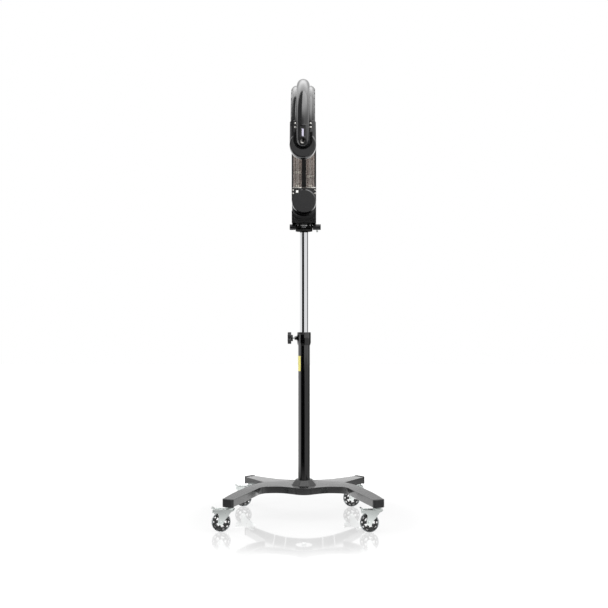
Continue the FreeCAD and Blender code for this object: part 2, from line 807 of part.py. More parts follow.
def pod_section(half):
    return face_of(on_arm_section, [
        (-half, arm_inner_r), (half, arm_inner_r), (half, 187), (half - 6, 194.5),
        (half - 14, arm_outer_r), (14 - half, arm_outer_r), (6 - half, 194.5), (-half, 187),
    ])


def channel(far_from, near_from):
    section = strip(-channel_half_width, channel_half_width, arm_inner_r - 4, channel_floor_r + 1)
    return hooked(section, bend_z - far_from, bend_z - near_from)


def pod_tapers(half, angle, run):
    """Two wedges that take the side corners off a pod where it begins on the bend."""
    wedges = []
    low = bend_y + arm_inner_r - 5
    for side in (-1, 1):
        corner = [(side * (half + 1), 0), (side * (half - 2.4), 0), (side * (half + 1), run)]
        wedge = face_of(lambda x, t: V(x, low, bend_z + t), corner).extrude(V(0, 50, 0))
        wedges.append(on_bend(wedge, angle))
    return wedges


def nose_recess():
    """A round-ended recess that is deepest under the nose and runs out along the arm."""
    face = bend_y - arm_outer_r
    outline = [(-recess_half, recess_high), (-recess_half, recess_low),
               ((0, recess_low - recess_half), (recess_half, recess_low)), (recess_half, recess_high)]
    recess = plate_xz(outline, face - 30, face)
    recess.rotate(V(0, face, recess_high), X_AXIS, recess_tilt)
    return recess


def front_pod(spine, nose):
    """The control end of the arm: a casing that ends in a round disc."""
    face = bend_y - arm_outer_r
    back = bend_y - arm_inner_r
    r = front_disc_r
    rim = face - front_disc_rise
    section = pod_section(front_pod_half)
    disc = face_of(lambda x, y: V(x, y, front_disc_z), [
        (0, back), (r, back), (r, rim + 6), (r - 1.2, rim + 2.5), (r - 4.5, rim), (0, rim)])
    pod = fuse([turned(disc, V(0, 0, front_disc_z), Y_AXIS),
                down_leg(section, True, bend_z - front_disc_z),
                round_bend(section, 180 - pod_turn, pod_turn)])
    pod = pod.cut([channel(channel_start_far, channel_start_near), nose, spine])
    pod = pod.cut([rod("Y", place, front_screw_r, face - 5, face + 1) for place in front_screw_places])
    pod = pod.cut(pod_tapers(front_pod_half, 180 - pod_turn, 6.0))
    return pod.cut(nose_recess())


def root_pod(spine):
    """The root of the arm: a long casing that ends in the disc on the swing shaft."""
    face = bend_y + arm_inner_r
    r = root_disc_r
    rim = face - root_disc_rise
    section = pod_section(root_pod_half)
    disc = face_of(lambda x, y: V(x, y, swing_z), [
        (0, rim), (r - 4, rim), (r - 1.2, rim + 1.2), (r, rim + 4), (r, root_back_y - 6),
        (r - 6, root_back_y), (0, root_back_y)])
    pod = fuse([turned(disc, V(0, 0, swing_z), Y_AXIS),
                down_leg(section, False, bend_z - swing_z),
                round_bend(section, 0, pod_turn)])
    pod = pod.cut([channel(channel_start_far, channel_start_near), spine])
    pod = pod.cut(pod_tapers(root_pod_half, pod_turn, -6.0))
    return pod.cut(box(window_x[0], window_x[1], rim - 1, face + 2, window_z[0], window_z[1]))


def pilot_window():
    """A square lens that stands just proud of the root disc."""
    face = bend_y + arm_inner_r
    front = face - root_disc_rise - window_rise
    return box(window_x[0], window_x[1], front, face + 2, window_z[0], window_z[1])


def arm_screws():
    """Round-headed screws beside the root disc and beside the spine at the control end."""
    inner = bend_y + arm_inner_r
    outer = bend_y - arm_outer_r
    heads = []
    for place in root_screw_places:
        heads.append(rod("Y", place, screw_r, inner - 1.6, inner))
    for place in front_screw_places:
        heads.append(rod("Y", place, front_screw_r, outer - 1.4, outer + 1))
    return heads


def reflectors():
    """Two polished troughs behind the heaters."""
    plates = []
    for side in (-1, 1):
        x0, x1 = sorted((side * rib_half_width, side * channel_half_width))
        section = strip(x0, x1, channel_floor_r, channel_floor_r + 1)
        plates.append(hooked(section, bend_z - channel_start_far, bend_z - channel_start_near))
    return plates


def centre_rib():
    section = strip(-rib_half_width, rib_half_width, arm_inner_r + 2 * guard_wire, channel_floor_r + 1)
    return hooked(section, bend_z - channel_start_far, bend_z - channel_start_near)


def heater_tubes():
    """One quartz tube in each trough, bent to the arm's shape."""
    centre_r = channel_floor_r - heater_r - heater_gap
    tubes = []
    for x in (-heater_x, heater_x):
        section = Part.Face(Part.Wire(Part.makeCircle(heater_r, on_arm_section(x, centre_r), Z_AXIS)))
        tubes.append(hooked(section, bend_z - channel_start_far - 12, bend_z - channel_start_near - 12))
    return tubes


def heater_holders():
    """Ceramic end blocks that carry the quartz tubes, and a spring clip on each long run."""
    blocks = []
    centre_y = bend_y + channel_floor_r - heater_r - heater_gap
    floor_y = bend_y + channel_floor_r
    for x, clip_z in clip_places:
        for near, z in ((False, channel_start_far), (True, channel_start_near)):
            section = strip(x - 7, x + 7, channel_floor_r - 9, channel_floor_r)
            block = down_leg(section, near, bend_z - z)
            blocks.append(block.common(box(-60, 60, -400, 0, z, z + 12)))
        plate = box(x - 13, x + 13, floor_y - 0.8, floor_y, clip_z, clip_z + clip_length)
        hoop = tube("Z", (x, centre_y), heater_r + 1.2, heater_r, clip_z + 3, clip_z + clip_length - 3)
        clip = fuse([plate, hoop.common(box(-60, 60, -100, floor_y, clip_z, clip_z + clip_length))])
        blocks.append(clip)
    return blocks


def guard_panel(make, start, end):
    """A panel of wires that run along the arm, carried on cross wires at its ends."""
    r = arm_inner_r
    parts = []
    for side in (-1, 1):
        for x in guard_wire_places:
            x0 = side * x - guard_wire / 2
            parts.append(make(strip(x0, x0 + guard_wire, r, r + guard_wire), start, end))
    cross = strip(-channel_half_width, channel_half_width, r + guard_wire, r + 2 * guard_wire)
    return parts, cross


def guard_wires():
    """Wire guards over the heaters: eight panels, end to end along the inside of the arm."""
    panels = []
    thick = guard_wire
    step = 30.0
    small = math.degrees(thick / arm_inner_r)
    gap = 0.3
    for i in range(6):
        wires, cross = guard_panel(lambda s, a, b: round_bend(s, a, b - a), i * step + small / 4,
                                   (i + 1) * step - small / 4)
        for at in (i * step + small / 4, (i + 1) * step - 5 * small / 4):
            wires.append(round_bend(cross, at, small))
        panels.append(fuse(wires))
    for near, z in ((False, channel_start_far), (True, channel_start_near)):
        wires, cross = guard_panel(lambda s, a, b: down_leg(s, near, bend_z - z), 0, 0)
        for low in (z, bend_z - gap - thick):
            bar = down_leg(cross, near, bend_z - z)
            wires.append(bar.common(box(-60, 60, -500, 100, low, low + thick)))
        panel = fuse(wires).common(box(-60, 60, -500, 100, z, bend_z - gap))
        if not near:
            panel = fuse([panel] + guard_end_bars())
        panels.append(panel)
    return panels


def guard_end_bars():
    """Two flat bars across the lower ends of the long panel, on the face of the root pod."""
    face = bend_y + arm_inner_r
    bars = []
    for x0, x1 in ((-49, -10.5), (10.5, 49)):
        bars.append(box(x0, x1, face - 1.5, face, channel_start_far - 2.5, channel_start_far + 1.5))
    return bars


# ---------------------------------------------------------------- make every node
os.makedirs("parts", exist_ok=True)

save("base_frame", base_frame())
save("leg_end_caps", leg_end_caps())
save("foot_cover", foot_cover())
save("caster_stems", caster_stems())
for place, (stem_x, stem_y) in stem_places.items():
    save("fork_" + place, caster_fork(stem_x, stem_y))
    save("wheel_core_" + place, wheel_core(stem_x, stem_y))
    save("tyre_" + place, wheel_tyre(stem_x, stem_y))
    save("brake_" + place, caster_brake(stem_x, stem_y))

save("outer_column", tube("Z", (0, 0), outer_tube_r, outer_tube_bore, column_seat_z, outer_tube_top))
column_plug = rod("Z", (0, 0), outer_tube_bore, column_seat_z, column_plug_top)
column_screw = rod("Z", (0, 0), column_bolt_r, base_hub_bottom - 6, column_seat_z + 8)
column_head = hexagon("Z", (0, 0), 10.0, base_hub_bottom - 7, base_hub_bottom)
save("column_bolt", fuse([column_plug, column_screw, column_head]))
save("height_collar", height_collar())
save("collar_bush", collar_bush())
save("inner_column", tube("Z", (0, 0), inner_tube_r, inner_tube_bore, inner_tube_bottom, inner_tube_top))
guide_r = outer_tube_bore - running_gap
save("column_guide", tube("Z", (0, 0), guide_r, inner_tube_r, inner_tube_bottom, inner_tube_bottom + 30))
save("height_knob", height_knob())
save("knob_screw", rod("X", (0, knob_z), knob_screw_r, -62, -inner_tube_r - 0.5))

save("swivel_bracket", swivel_bracket())
save("tilt_axle", tilt_axle())
save("tilt_spring", tilt_spring())
save("tilt_knob", tilt_knob())
save("tilt_yoke", tilt_yoke())

save("hub_saddle", hub_saddle())
save("gearbox_housing", gearbox_housing())
save("rear_cover", rear_cover())
bearing_bore = shaft_r + running_gap
save("swing_bearing", tube("Y", (0, swing_z), bearing_r, bearing_bore, housing_front + 2, gear_y - 3))
save("swing_motor", swing_motor())
save("motor_pinion", motor_pinion())
save("control_board", control_board())
save("mains_inlet", mains_inlet())
save("power_switch", power_switch())
back_screws = [rod("Y", p, screw_r, housing_back - 1.5, housing_back + 1.5) for p in hub_screw_places]
front_screws = [rod("Y", p, screw_r, saddle_front - 1.6, saddle_front + 1) for p in saddle_screw_places]
save("hub_screws", back_screws + front_screws)

arm_spine = spine_tube()
arm_nose = spine_nose()
save("spine_tube", arm_spine)
save("spine_nose", nose_cuts(arm_nose))
right_shell = side_shell()
save("side_shell_right", right_shell)
save("side_shell_left", mirrored(right_shell))
save("front_pod", front_pod(arm_spine, arm_nose))
save("root_pod", root_pod(arm_spine))
save("reflectors", reflectors())
save("centre_rib", centre_rib())
save("heater_tubes", heater_tubes())
save("heater_holders", heater_holders())
save("guard_wires", guard_wires())
save("light_bar", light_bar())
save("pilot_window", pilot_window())
save("arm_screws", arm_screws())
save("control_dial", control_dial())
save("swing_shaft", swing_shaft())
save("swing_gear", spur_gear(gear_teeth, swing_z, 0, shaft_r, gear_trim))
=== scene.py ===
import json
import math

import bmesh
import bpy
import numpy as np
from bpy.props import FloatProperty, FloatVectorProperty, PointerProperty
from bpy.types import Operator, Panel, PropertyGroup
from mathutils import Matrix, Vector

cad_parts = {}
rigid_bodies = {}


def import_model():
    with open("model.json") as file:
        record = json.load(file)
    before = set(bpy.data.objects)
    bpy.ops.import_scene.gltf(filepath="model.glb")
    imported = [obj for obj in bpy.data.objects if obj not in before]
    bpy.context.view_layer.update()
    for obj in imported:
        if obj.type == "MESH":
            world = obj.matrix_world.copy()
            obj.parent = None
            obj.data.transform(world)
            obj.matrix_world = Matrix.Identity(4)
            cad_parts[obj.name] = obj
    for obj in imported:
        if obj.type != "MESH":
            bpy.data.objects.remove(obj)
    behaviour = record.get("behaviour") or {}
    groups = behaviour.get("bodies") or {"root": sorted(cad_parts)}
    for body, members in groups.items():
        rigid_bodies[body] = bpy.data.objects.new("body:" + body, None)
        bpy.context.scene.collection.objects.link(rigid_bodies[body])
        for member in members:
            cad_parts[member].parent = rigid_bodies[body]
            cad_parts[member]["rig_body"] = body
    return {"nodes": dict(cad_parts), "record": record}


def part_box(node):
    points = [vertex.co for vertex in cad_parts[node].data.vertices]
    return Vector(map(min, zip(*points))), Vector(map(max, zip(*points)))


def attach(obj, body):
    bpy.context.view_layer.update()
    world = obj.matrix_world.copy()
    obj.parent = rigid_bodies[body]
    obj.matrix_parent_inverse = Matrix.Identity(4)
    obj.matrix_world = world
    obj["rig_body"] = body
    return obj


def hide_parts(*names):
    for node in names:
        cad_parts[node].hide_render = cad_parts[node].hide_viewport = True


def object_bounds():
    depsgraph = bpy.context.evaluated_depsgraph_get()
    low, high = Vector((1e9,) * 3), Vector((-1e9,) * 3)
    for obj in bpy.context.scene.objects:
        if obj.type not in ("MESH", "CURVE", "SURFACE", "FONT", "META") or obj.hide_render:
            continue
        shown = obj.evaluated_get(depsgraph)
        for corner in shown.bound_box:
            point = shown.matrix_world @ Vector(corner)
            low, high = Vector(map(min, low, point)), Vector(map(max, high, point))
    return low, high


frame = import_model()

bl_info = {
    "name": "Hair Color Processor",
    "version": (1, 0, 0),
    "blender": (4, 5, 0),
    "location": "View3D > Sidebar > Processor",
    "description": "Finishes and fine pieces of a hooked infrared hair color processor",
    "category": "Object",
}

# The frame is in metres; sizes in this file are written in millimetres and turned by MM.
MM = 0.001
TURN = 2 * math.pi
QUARTER = math.pi / 2
CASTERS = ("front_left", "front_right", "back_left", "back_right")
CAD_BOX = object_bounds()


# ---- places read from the frame
def middle(node):
    low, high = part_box(node)
    return (low + high) / 2


def half_size(node):
    low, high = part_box(node)
    return (high - low) / 2


def vertices_of(node):
    """The vertices of a CAD node, one row each."""
    mesh = frame["nodes"][node].data
    points = np.empty(len(mesh.vertices) * 3)
    mesh.vertices.foreach_get("co", points)
    return points.reshape(-1, 3)


# The direction across the arm, and the centre of its bend.
ACROSS = np.array([1.0, 0.0, 0.0])
BEND = np.array([0.0, middle("spine_tube").y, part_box("spine_nose")[1].z])
# The heater tubes: their radius, the distance of their axes from the centre of the bend and from the
# middle plane, and how low they reach at the back leg and at the front leg.
TUBE_R = 4 * MM
TUBE_BEND_R = half_size("heater_tubes").y - TUBE_R
TUBE_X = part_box("heater_tubes")[1].x - TUBE_R
TUBE_POINTS = vertices_of("heater_tubes")
TUBE_BACK_Z = TUBE_POINTS[TUBE_POINTS[:, 1] > BEND[1], 2].min()
TUBE_FRONT_Z = TUBE_POINTS[TUBE_POINTS[:, 1] < BEND[1], 2].min()

# The dish in the dial's face, which the metal insert, a painted highlight, follows.
DISH_R = 9.0 * MM
DISH_DEPTH = 2.4 * MM


def linear(code):
    """An sRGB hex colour as a linear one."""
    parts = [int(code[i:i + 2], 16) / 255 for i in (1, 3, 5)]
    return tuple(p / 12.92 if p <= 0.04045 else ((p + 0.055) / 1.055) ** 2.4 for p in parts)


# ---- settings a user would change
def colour_setting(name, description, code):
    return FloatVectorProperty(name=name, description=description, subtype="COLOR", size=3,
                               min=0.0, max=1.0, default=linear(code))


def number_setting(name, description, value, subtype="NONE", unit="NONE"):
    return FloatProperty(name=name, description=description, subtype=subtype, unit=unit, min=0.0,
                         default=value)


def length_setting(name, description, millimetres):
    return number_setting(name, description, millimetres * MM, "DISTANCE", "LENGTH")


def place_setting(name, description, metres):
    return FloatVectorProperty(name=name, description=description, subtype="TRANSLATION", unit="LENGTH",
                               size=3, default=metres)


class PROCESSOR_PG_colours(PropertyGroup):
    gloss_black: colour_setting("Arm casing", "Glossy moulded casing of the arm and hub", "#131315")
    base_black: colour_setting("Base", "Powder coat of the four-legged base", "#0D0D0E")
    tube_black: colour_setting("Outer tube", "Enamel of the lower column", "#060607")
    cover_grey: colour_setting("Foot cover", "Moulded cover round the foot of the column", "#0B0B0C")
    zinc: colour_setting("Zinc plate", "Casters, nuts and axles", "#DDE2E0")
    chrome: colour_setting("Chrome", "Inner tube, spring and screws", "#D9DADC")
    reflector: colour_setting("Reflectors", "Bright sheet behind the heaters", "#E9DED8")
    tyre: colour_setting("Tyres", "Clear polyurethane", "#D5DCDF")
    lamp: colour_setting("Light bar", "Glow of the light in the nose", "#B9B2FF")
    mark: colour_setting("Height mark", "Plain band on the outer tube", "#E4DA7C")


class PROCESSOR_PG_arm(PropertyGroup):
    quartz_wall: length_setting("Quartz wall", "Wall of the heater tubes", 0.8)
    filament_pitch: length_setting("Filament pitch", "Step between the turns of the heating coil", 2.8)
    filament_wire: length_setting("Filament wire", "Diameter of the heating coil's wire", 0.6)
    glow: number_setting("Light strength", "Strength of the light bar", 2.2)


class PROCESSOR_PG_stand(PropertyGroup):
    tyre_shoulder: length_setting("Tyre shoulder", "Rounding of the tyres' edges", 3.0)
    thread_pitch: length_setting("Thread pitch", "Pitch of the clamp screw's thread", 1.0)
    mark_low: length_setting("Mark height", "Lower edge of the height mark above the floor", 618.0)
    mark_high: length_setting("Mark top", "Upper edge of the height mark above the floor", 682.0)


class PROCESSOR_PG_studio(PropertyGroup):
    camera_place: place_setting("Camera", "Place of the camera", (0.043, -3.721, 0.842))
    camera_aim: place_setting("Aim", "Point that the camera looks at", (0.0, 0.0, 0.901))
    lens: number_setting("Lens", "Focal length in millimetres on a 36 mm sensor", 52.05)
    side_power: number_setting("Side lights", "Power of each side light in watts", 26.0, "POWER")
    top_power: number_setting("Top light", "Power of the overhead light in watts", 30.0, "POWER")
    room: number_setting("Room light", "Strength of the even light from all round", 0.55)


def chosen(group):
    """The values of a group of the user's settings."""
    return getattr(bpy.context.scene, "processor_" + group)


# ---- node helper and finishes
def add_node(tree, kind, settings=None, values=None, links=None):
    """Adds a shader node, sets its settings and input values, and links its inputs."""
    node = tree.nodes.new(kind)
    for name, value in (settings or {}).items():
        setattr(node, name, value)
    for name, value in (values or {}).items():
        node.inputs[name].default_value = value
    for name, source in (links or {}).items():
        tree.links.new(source, node.inputs[name])
    return node


# Inputs and outputs of the Mix node for colours, which share their names with those for numbers.
MIX_FIRST, MIX_SECOND, MIX_RESULT = 6, 7, 2
WHITE = (1.0, 1.0, 1.0, 1.0)


def new_material():
    material = bpy.data.materials.new("finish")
    material.use_nodes = True
    material.node_tree.nodes.clear()
    return material


def surfaced(material, shader):
    """The material, with a shader on its surface."""
    add_node(material.node_tree, "ShaderNodeOutputMaterial", links={"Surface": shader.outputs[0]})
    return material


def mix_colours(tree, first, second, share):
    """The colour that goes from first to second as share goes from 0 to 1."""
    node = add_node(tree, "ShaderNodeMix", {"data_type": "RGBA"},
                    {MIX_FIRST: (*first, 1.0), MIX_SECOND: (*second, 1.0)}, {"Factor": share})
    return node.outputs[MIX_RESULT]


def finish(colour, tone, patch_mm, rough, grain_mm, grain_depth_mm, stretch=(1.0, 1.0, 1.0), **sockets):
    """A surface with soft patches of tone and roughness and a fine grain.

    colour is the mean colour, as a code or as the name of a user's setting, and tone how far the patches go
    from it; rough is the range of roughness; grain_mm is the size of the grain and grain_depth_mm its relief.
    Other sockets of the shader are named with _ in place of the space.
    """
    material = new_material()
    tree = material.node_tree
    mean = linear(colour) if colour[0] == "#" else getattr(chosen("colours"), colour)
    place = add_node(tree, "ShaderNodeTexCoord")
    scaled = add_node(tree, "ShaderNodeMapping", values={"Scale": stretch},
                      links={"Vector": place.outputs["Object"]})
    patches, grain = (add_node(tree, "ShaderNodeTexNoise", values={"Scale": 1000 / size_mm, "Detail": detail},
                               links={"Vector": scaled.outputs["Vector"]}).outputs["Fac"]
                      for size_mm, detail in ((patch_mm, 3.0), (grain_mm, 2.0)))
    mixed = mix_colours(tree, [c * (1 - tone) for c in mean], [min(1.0, c * (1 + tone)) for c in mean],
                        patches)
    gloss = add_node(tree, "ShaderNodeMapRange", values={"To Min": rough[0], "To Max": rough[1]},
                     links={"Value": patches})
    relief = add_node(tree, "ShaderNodeBump", values={"Strength": 1.0, "Distance": grain_depth_mm * MM},
                      links={"Height": grain})
    values = {name.replace("_", " "): value for name, value in sockets.items()}
    shader = add_node(tree, "ShaderNodeBsdfPrincipled", values=values, links={
        "Base Color": mixed, "Roughness": gloss.outputs["Result"], "Normal": relief.outputs["Normal"]})
    return surfaced(material, shader)


def gloss_abs():
    """Injection-moulded ABS from a polished tool, lacquered: deep black with sharp bright reflections."""
    return finish("gloss_black", 0.15, 40, (0.14, 0.2), 3.0, 0.002, IOR=1.52,
                  Coat_Weight=1.0, Coat_Roughness=0.05)


def textured_abs():
    """The same ABS with a fine texture, unlacquered: dull black, with light only along its edges."""
    return finish("#060607", 0.2, 20, (0.24, 0.32), 0.8, 0.006, IOR=1.5)


def satin_abs():
    """Moulded ABS, semi-gloss: black with a softer highlight than the arm's."""
    return finish("cover_grey", 0.15, 30, (0.16, 0.24), 1.2, 0.004, IOR=1.5)


def satin_nylon():
    """Glass-filled nylon, moulded: satin black with a slightly mottled skin."""
    return finish("#161618", 0.25, 8, (0.38, 0.5), 0.5, 0.012, IOR=1.53)


def powder_coat():
    """Glossy powder coat on a sand-cast base: deep black, with a faint orange peel of about 1.5 mm."""
    return finish("base_black", 0.15, 35, (0.18, 0.28), 1.5, 0.005, IOR=1.48,
                  Coat_Weight=0.9, Coat_Roughness=0.12)


def tube_enamel():
    """Stoved enamel on drawn steel tube: glossy black, with faint marks along the tube."""
    return finish("tube_black", 0.15, 25, (0.08, 0.14), 2.5, 0.002,
                  stretch=(1.0, 1.0, 0.15), IOR=1.52, Coat_Weight=0.8, Coat_Roughness=0.04)


def zinc_plate():
    """Blue-passivated zinc on pressed steel: pale smooth metal with a greenish bloom in soft patches."""
    return finish("zinc", 0.06, 14, (0.24, 0.34), 1.5, 0.0015, Metallic=1.0)


def polished_chrome():
    """Polished chrome plate: bright mirror with hair-fine polishing marks round the tube."""
    return finish("chrome", 0.03, 60, (0.03, 0.07), 0.8, 0.0008,
                  stretch=(0.2, 0.2, 1.0), Metallic=1.0)


def black_oxide():
    """Black oxide on steel: dark, oily-looking metal."""
    return finish("#18181B", 0.2, 6, (0.3, 0.42), 0.6, 0.006, IOR=1.8, Metallic=0.4)


def natural_nylon():
    """Unfilled nylon: milky white and slightly waxy."""
    return finish("#D9D6CC", 0.05, 15, (0.35, 0.45), 0.8, 0.004, IOR=1.53)


def anodised_reflector():
    """Bright anodised sheet, rolled: a warm pale mirror with rolling marks across the bend."""
    return finish("reflector", 0.1, 20, (0.2, 0.32), 1.2, 0.01,
                  stretch=(1.0, 0.15, 0.15), Metallic=1.0)


def nickel_wire():
    """Nickel-plated drawn wire, browned by the heat: warm metal, darker than the sheet behind it."""
    return finish("#A89E96", 0.1, 10, (0.22, 0.32), 0.5, 0.002, Metallic=1.0)


def bright_nickel():
    """Bright nickel on pressed steel: near-white metal with a soft gloss."""
    return finish("#F3F1EC", 0.03, 10, (0.3, 0.38), 0.8, 0.001, Metallic=1.0)


def satin_nickel():
    """Satin nickel on a spun disc: grey metal with a soft, broad highlight. Its grey is set to give the
    bright patch on the dial's face, a painted highlight.
    """
    return finish("#84827F", 0.06, 6, (0.24, 0.32), 0.6, 0.002, Metallic=1.0)


def heat_paint():
    """Heat-resistant stove paint on steel: dead black and matt, with a dry grain and no highlight."""
    return finish("#040404", 0.3, 8, (0.62, 0.75), 0.4, 0.01, IOR=1.45)


def steatite():
    """Fired steatite: off-white ceramic with a dry matt skin."""
    return finish("#E2DDD2", 0.06, 5, (0.5, 0.62), 0.4, 0.01, IOR=1.6)


def quartz():
    """Drawn quartz glass: clear, with a fine grain."""
    return finish("#F4EEE8", 0.02, 10, (0.03, 0.08), 1.5, 0.002, IOR=1.46,
                  Transmission_Weight=1.0)


def heating_wire():
    """Oxidised resistance wire: brown-grey metal without shine."""
    return finish("#8F8077", 0.2, 3, (0.45, 0.6), 0.3, 0.004, Metallic=1.0)


def hobbed_brass():
    """Hobbed brass: warm yellow metal with fine cutter marks."""
    return finish("#C7A24E", 0.1, 6, (0.2, 0.32), 0.4, 0.004, Metallic=1.0)


def solder_mask():
    """Solder mask on a circuit board: deep green lacquer."""
    return finish("#0E4A2C", 0.15, 4, (0.2, 0.3), 0.6, 0.005, IOR=1.55)


def rocker_red():
    """Tinted polycarbonate rocker: clear dark red with a glossy face."""
    return finish("#7A1210", 0.1, 6, (0.1, 0.18), 1.0, 0.002, IOR=1.58)


def opal_window():
    """Opal acrylic: even white, with a glossy face."""
    return finish("#EDEDE8", 0.03, 8, (0.12, 0.18), 1.0, 0.002, IOR=1.49,
                  Emission_Color=(1.0, 1.0, 0.98, 1.0), Emission_Strength=0.25)


def clear_urethane():
    """Cast polyurethane tyre: clear with a grey cast, dulled where it has rolled."""
    return finish("tyre", 0.04, 12, (0.08, 0.2), 0.8, 0.006, IOR=1.5,
                  Transmission_Weight=0.9)


def wheel_polypropylene():
    """Moulded polypropylene wheel: satin black."""
    return finish("#131314", 0.2, 10, (0.3, 0.42), 0.7, 0.008, IOR=1.49)


def mark_vinyl():
    """Cut vinyl film: flat yellow with a satin skin."""
    return finish("mark", 0.05, 12, (0.35, 0.45), 0.5, 0.004, IOR=1.5)


def white_ink():
    """Pad-printed ink: flat white, just proud of the plastic."""
    return finish("#D8D8D4", 0.04, 5, (0.45, 0.55), 0.4, 0.002, IOR=1.5)


def light_lens():
    """Diffusing polycarbonate over a row of light-emitting diodes, one every 5 mm."""
    material = new_material()
    tree = material.node_tree
    place = add_node(tree, "ShaderNodeTexCoord")
    row = add_node(tree, "ShaderNodeTexWave", {"wave_type": "BANDS", "bands_direction": "Z"},
                   {"Scale": TURN / (20 * 5 * MM), "Distortion": 0.0}, {"Vector": place.outputs["Object"]})
    power = chosen("arm").glow
    bright = add_node(tree, "ShaderNodeMapRange", values={"To Min": power * 0.6, "To Max": power},
                      links={"Value": row.outputs["Fac"]})
    shader = add_node(tree, "ShaderNodeBsdfPrincipled", values={
        "Base Color": (0.8, 0.8, 0.85, 1.0), "Roughness": 0.3, "IOR": 1.58,
        "Emission Color": (*chosen("colours").lamp, 1.0)},
        links={"Emission Strength": bright.outputs["Result"]})
    return surfaced(material, shader)


# Each material slot of the record, with the finish that it stands for.
FINISHES = {
    "base_enamel": powder_coat, "black_plastic": satin_nylon, "grey_plastic": satin_abs,
    "zinc_steel": zinc_plate, "black_enamel": tube_enamel, "nylon": natural_nylon,
    "chrome_tube": polished_chrome, "bright_chrome": polished_chrome, "dark_steel": black_oxide,
    "gloss_black": gloss_abs, "brass_gear": hobbed_brass, "board_green": solder_mask,
    "switch_red": rocker_red, "reflector_foil": anodised_reflector, "quartz": quartz,
    "ceramic_white": steatite, "guard_steel": nickel_wire, "light_lens": light_lens,
    "window_white": opal_window, "dial_black": gloss_abs, "wheel_black": wheel_polypropylene,
    "tyre_clear": clear_urethane,
}


def material_of(make):
    """The material that a finish function makes, made once and named after it."""
    material = bpy.data.materials.get(make.__name__) or make()
    material.name = make.__name__
    return material


def slot_of(node):
    return next(p["material_slot"] for p in frame["record"]["subparts"] if p["node"] == node)


def body_of(node):
    return frame["nodes"][node]["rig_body"]


def new_object(name, data):
    """An object in the scene that shows a mesh, a light or a camera."""
    thing = bpy.data.objects.new(name, data)
    bpy.context.scene.collection.objects.link(thing)
    return thing


def dress(*nodes, make=None):
    """Gives CAD nodes the finish of their own material slot, or the one named."""
    for node in nodes:
        mesh = frame["nodes"][node].data
        mesh.materials.clear()
        mesh.materials.append(material_of(make or FINISHES[slot_of(node)]))


def settle(piece, node, make=None, slot=None, replace=True):
    """Puts a piece on the body and in the slot of a CAD node, with its finish, or with those named.

    With replace it stands for that node.
    """
    slot = slot or slot_of(node)
    piece.data.materials.clear()
    piece.data.materials.append(material_of(make or FINISHES[slot]))
    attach(piece, body_of(node))
    if replace:
        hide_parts(node)


# ---- rounded copies of CAD nodes
WELD_MM = 0.002
FLAT_ANGLE = math.radians(0.4)
FACET_ANGLE = 0.01
EDGE_ANGLE = math.radians(32)
LIKE_AREA = 0.15


def flows_on(face):
    """True where a face is a facet of a curved surface: it bends a little into others of about its size."""
    for edge in face.edges:
        if FACET_ANGLE < edge.calc_face_angle(0.0) < EDGE_ANGLE:
            if min(other.calc_area() for other in edge.link_faces) > LIKE_AREA * face.calc_area():
                return True
    return False


def soften(node, edge_mm, make=None):
    """A copy of a CAD node with its triangles joined and its edges rounded to edge_mm.

    Flat faces are joined, then cut again into convex ones, so that those with a hole or a hollow side
    stay true. A face that curves on into no other keeps flat shading.
    """
    mesh = frame["nodes"][node].data.copy()
    mesh.name = node + "_finished"
    shell = bmesh.new()
    shell.from_mesh(mesh)
    bmesh.ops.remove_doubles(shell, verts=shell.verts, dist=WELD_MM * MM)
    bmesh.ops.dissolve_limit(shell, angle_limit=FLAT_ANGLE, verts=shell.verts, edges=shell.edges)
    bmesh.ops.connect_verts_concave(shell, faces=shell.faces)
    curved = [flows_on(face) for face in shell.faces]
    shell.to_mesh(mesh)
    shell.free()
    if "custom_normal" in mesh.attributes:
        mesh.attributes.remove(mesh.attributes["custom_normal"])
    mesh.set_sharp_from_angle(angle=EDGE_ANGLE)
    mesh.polygons.foreach_set("use_smooth", curved)
    piece = new_object(mesh.name, mesh)
    rounding = piece.modifiers.new("edge_radius", "BEVEL")
    rounding.width = edge_mm * MM
    rounding.segments = 2
    rounding.limit_method = "ANGLE"
    rounding.angle_limit = EDGE_ANGLE
    rounding.use_clamp_overlap = False
    settle(piece, node, make)


def soften_each(**edges):
    """Softens CAD nodes, each with its own edge in millimetres."""
    for node, edge_mm in edges.items():
        soften(node, edge_mm)


# ---- numpy surfaces
def build(name, grids, loop=False):
    """One mesh from several grids of points, each a tube of closed rings.

    A grid has shape (rings, points of a ring, 3). Its ends are closed with a point in the middle of the
    first and last ring, or, with loop, the last ring joins the first.
    """
    points, faces = [], []
    first = 0
    for grid in grids:
        rows, columns = grid.shape[:2]
        number = first + np.arange(rows * columns).reshape(rows, columns)
        ahead = np.roll(number, -1, axis=0)
        quads = np.stack([number, np.roll(number, -1, axis=1), np.roll(ahead, -1, axis=1), ahead], axis=-1)
        faces += (quads if loop else quads[:-1]).reshape(-1, 4).tolist()
        points.append(grid.reshape(-1, 3))
        first += rows * columns
        if not loop:
            points.append(grid[[0, -1]].mean(axis=1))
            for ring in (number[0], number[-1]):
                faces += np.stack([np.full(columns, first), ring, np.roll(ring, -1)], axis=-1).tolist()
                first += 1
    mesh = bpy.data.meshes.new(name)
    mesh.from_pydata(np.concatenate(points), [], faces)
    shell = bmesh.new()
    shell.from_mesh(mesh)
    bmesh.ops.recalc_face_normals(shell, faces=shell.faces)
    shell.to_mesh(mesh)
    shell.free()
    mesh.shade_smooth()
    mesh.set_sharp_from_angle(angle=math.radians(40))
    return new_object(name, mesh)


def stand_in(name, grids, node, make=None, loop=False):
    """A piece from grids in the place of a CAD node."""
    settle(build(name, grids, loop), node, make)


def extra(name, grids, node, make=None, slot=None, loop=False):
    """A piece from grids beside a CAD node, on its body."""
    settle(build(name, grids, loop), node, make, slot, replace=False)


def around(steps):
    """Angles of even steps round a full turn."""
    return TURN * np.arange(steps) / steps


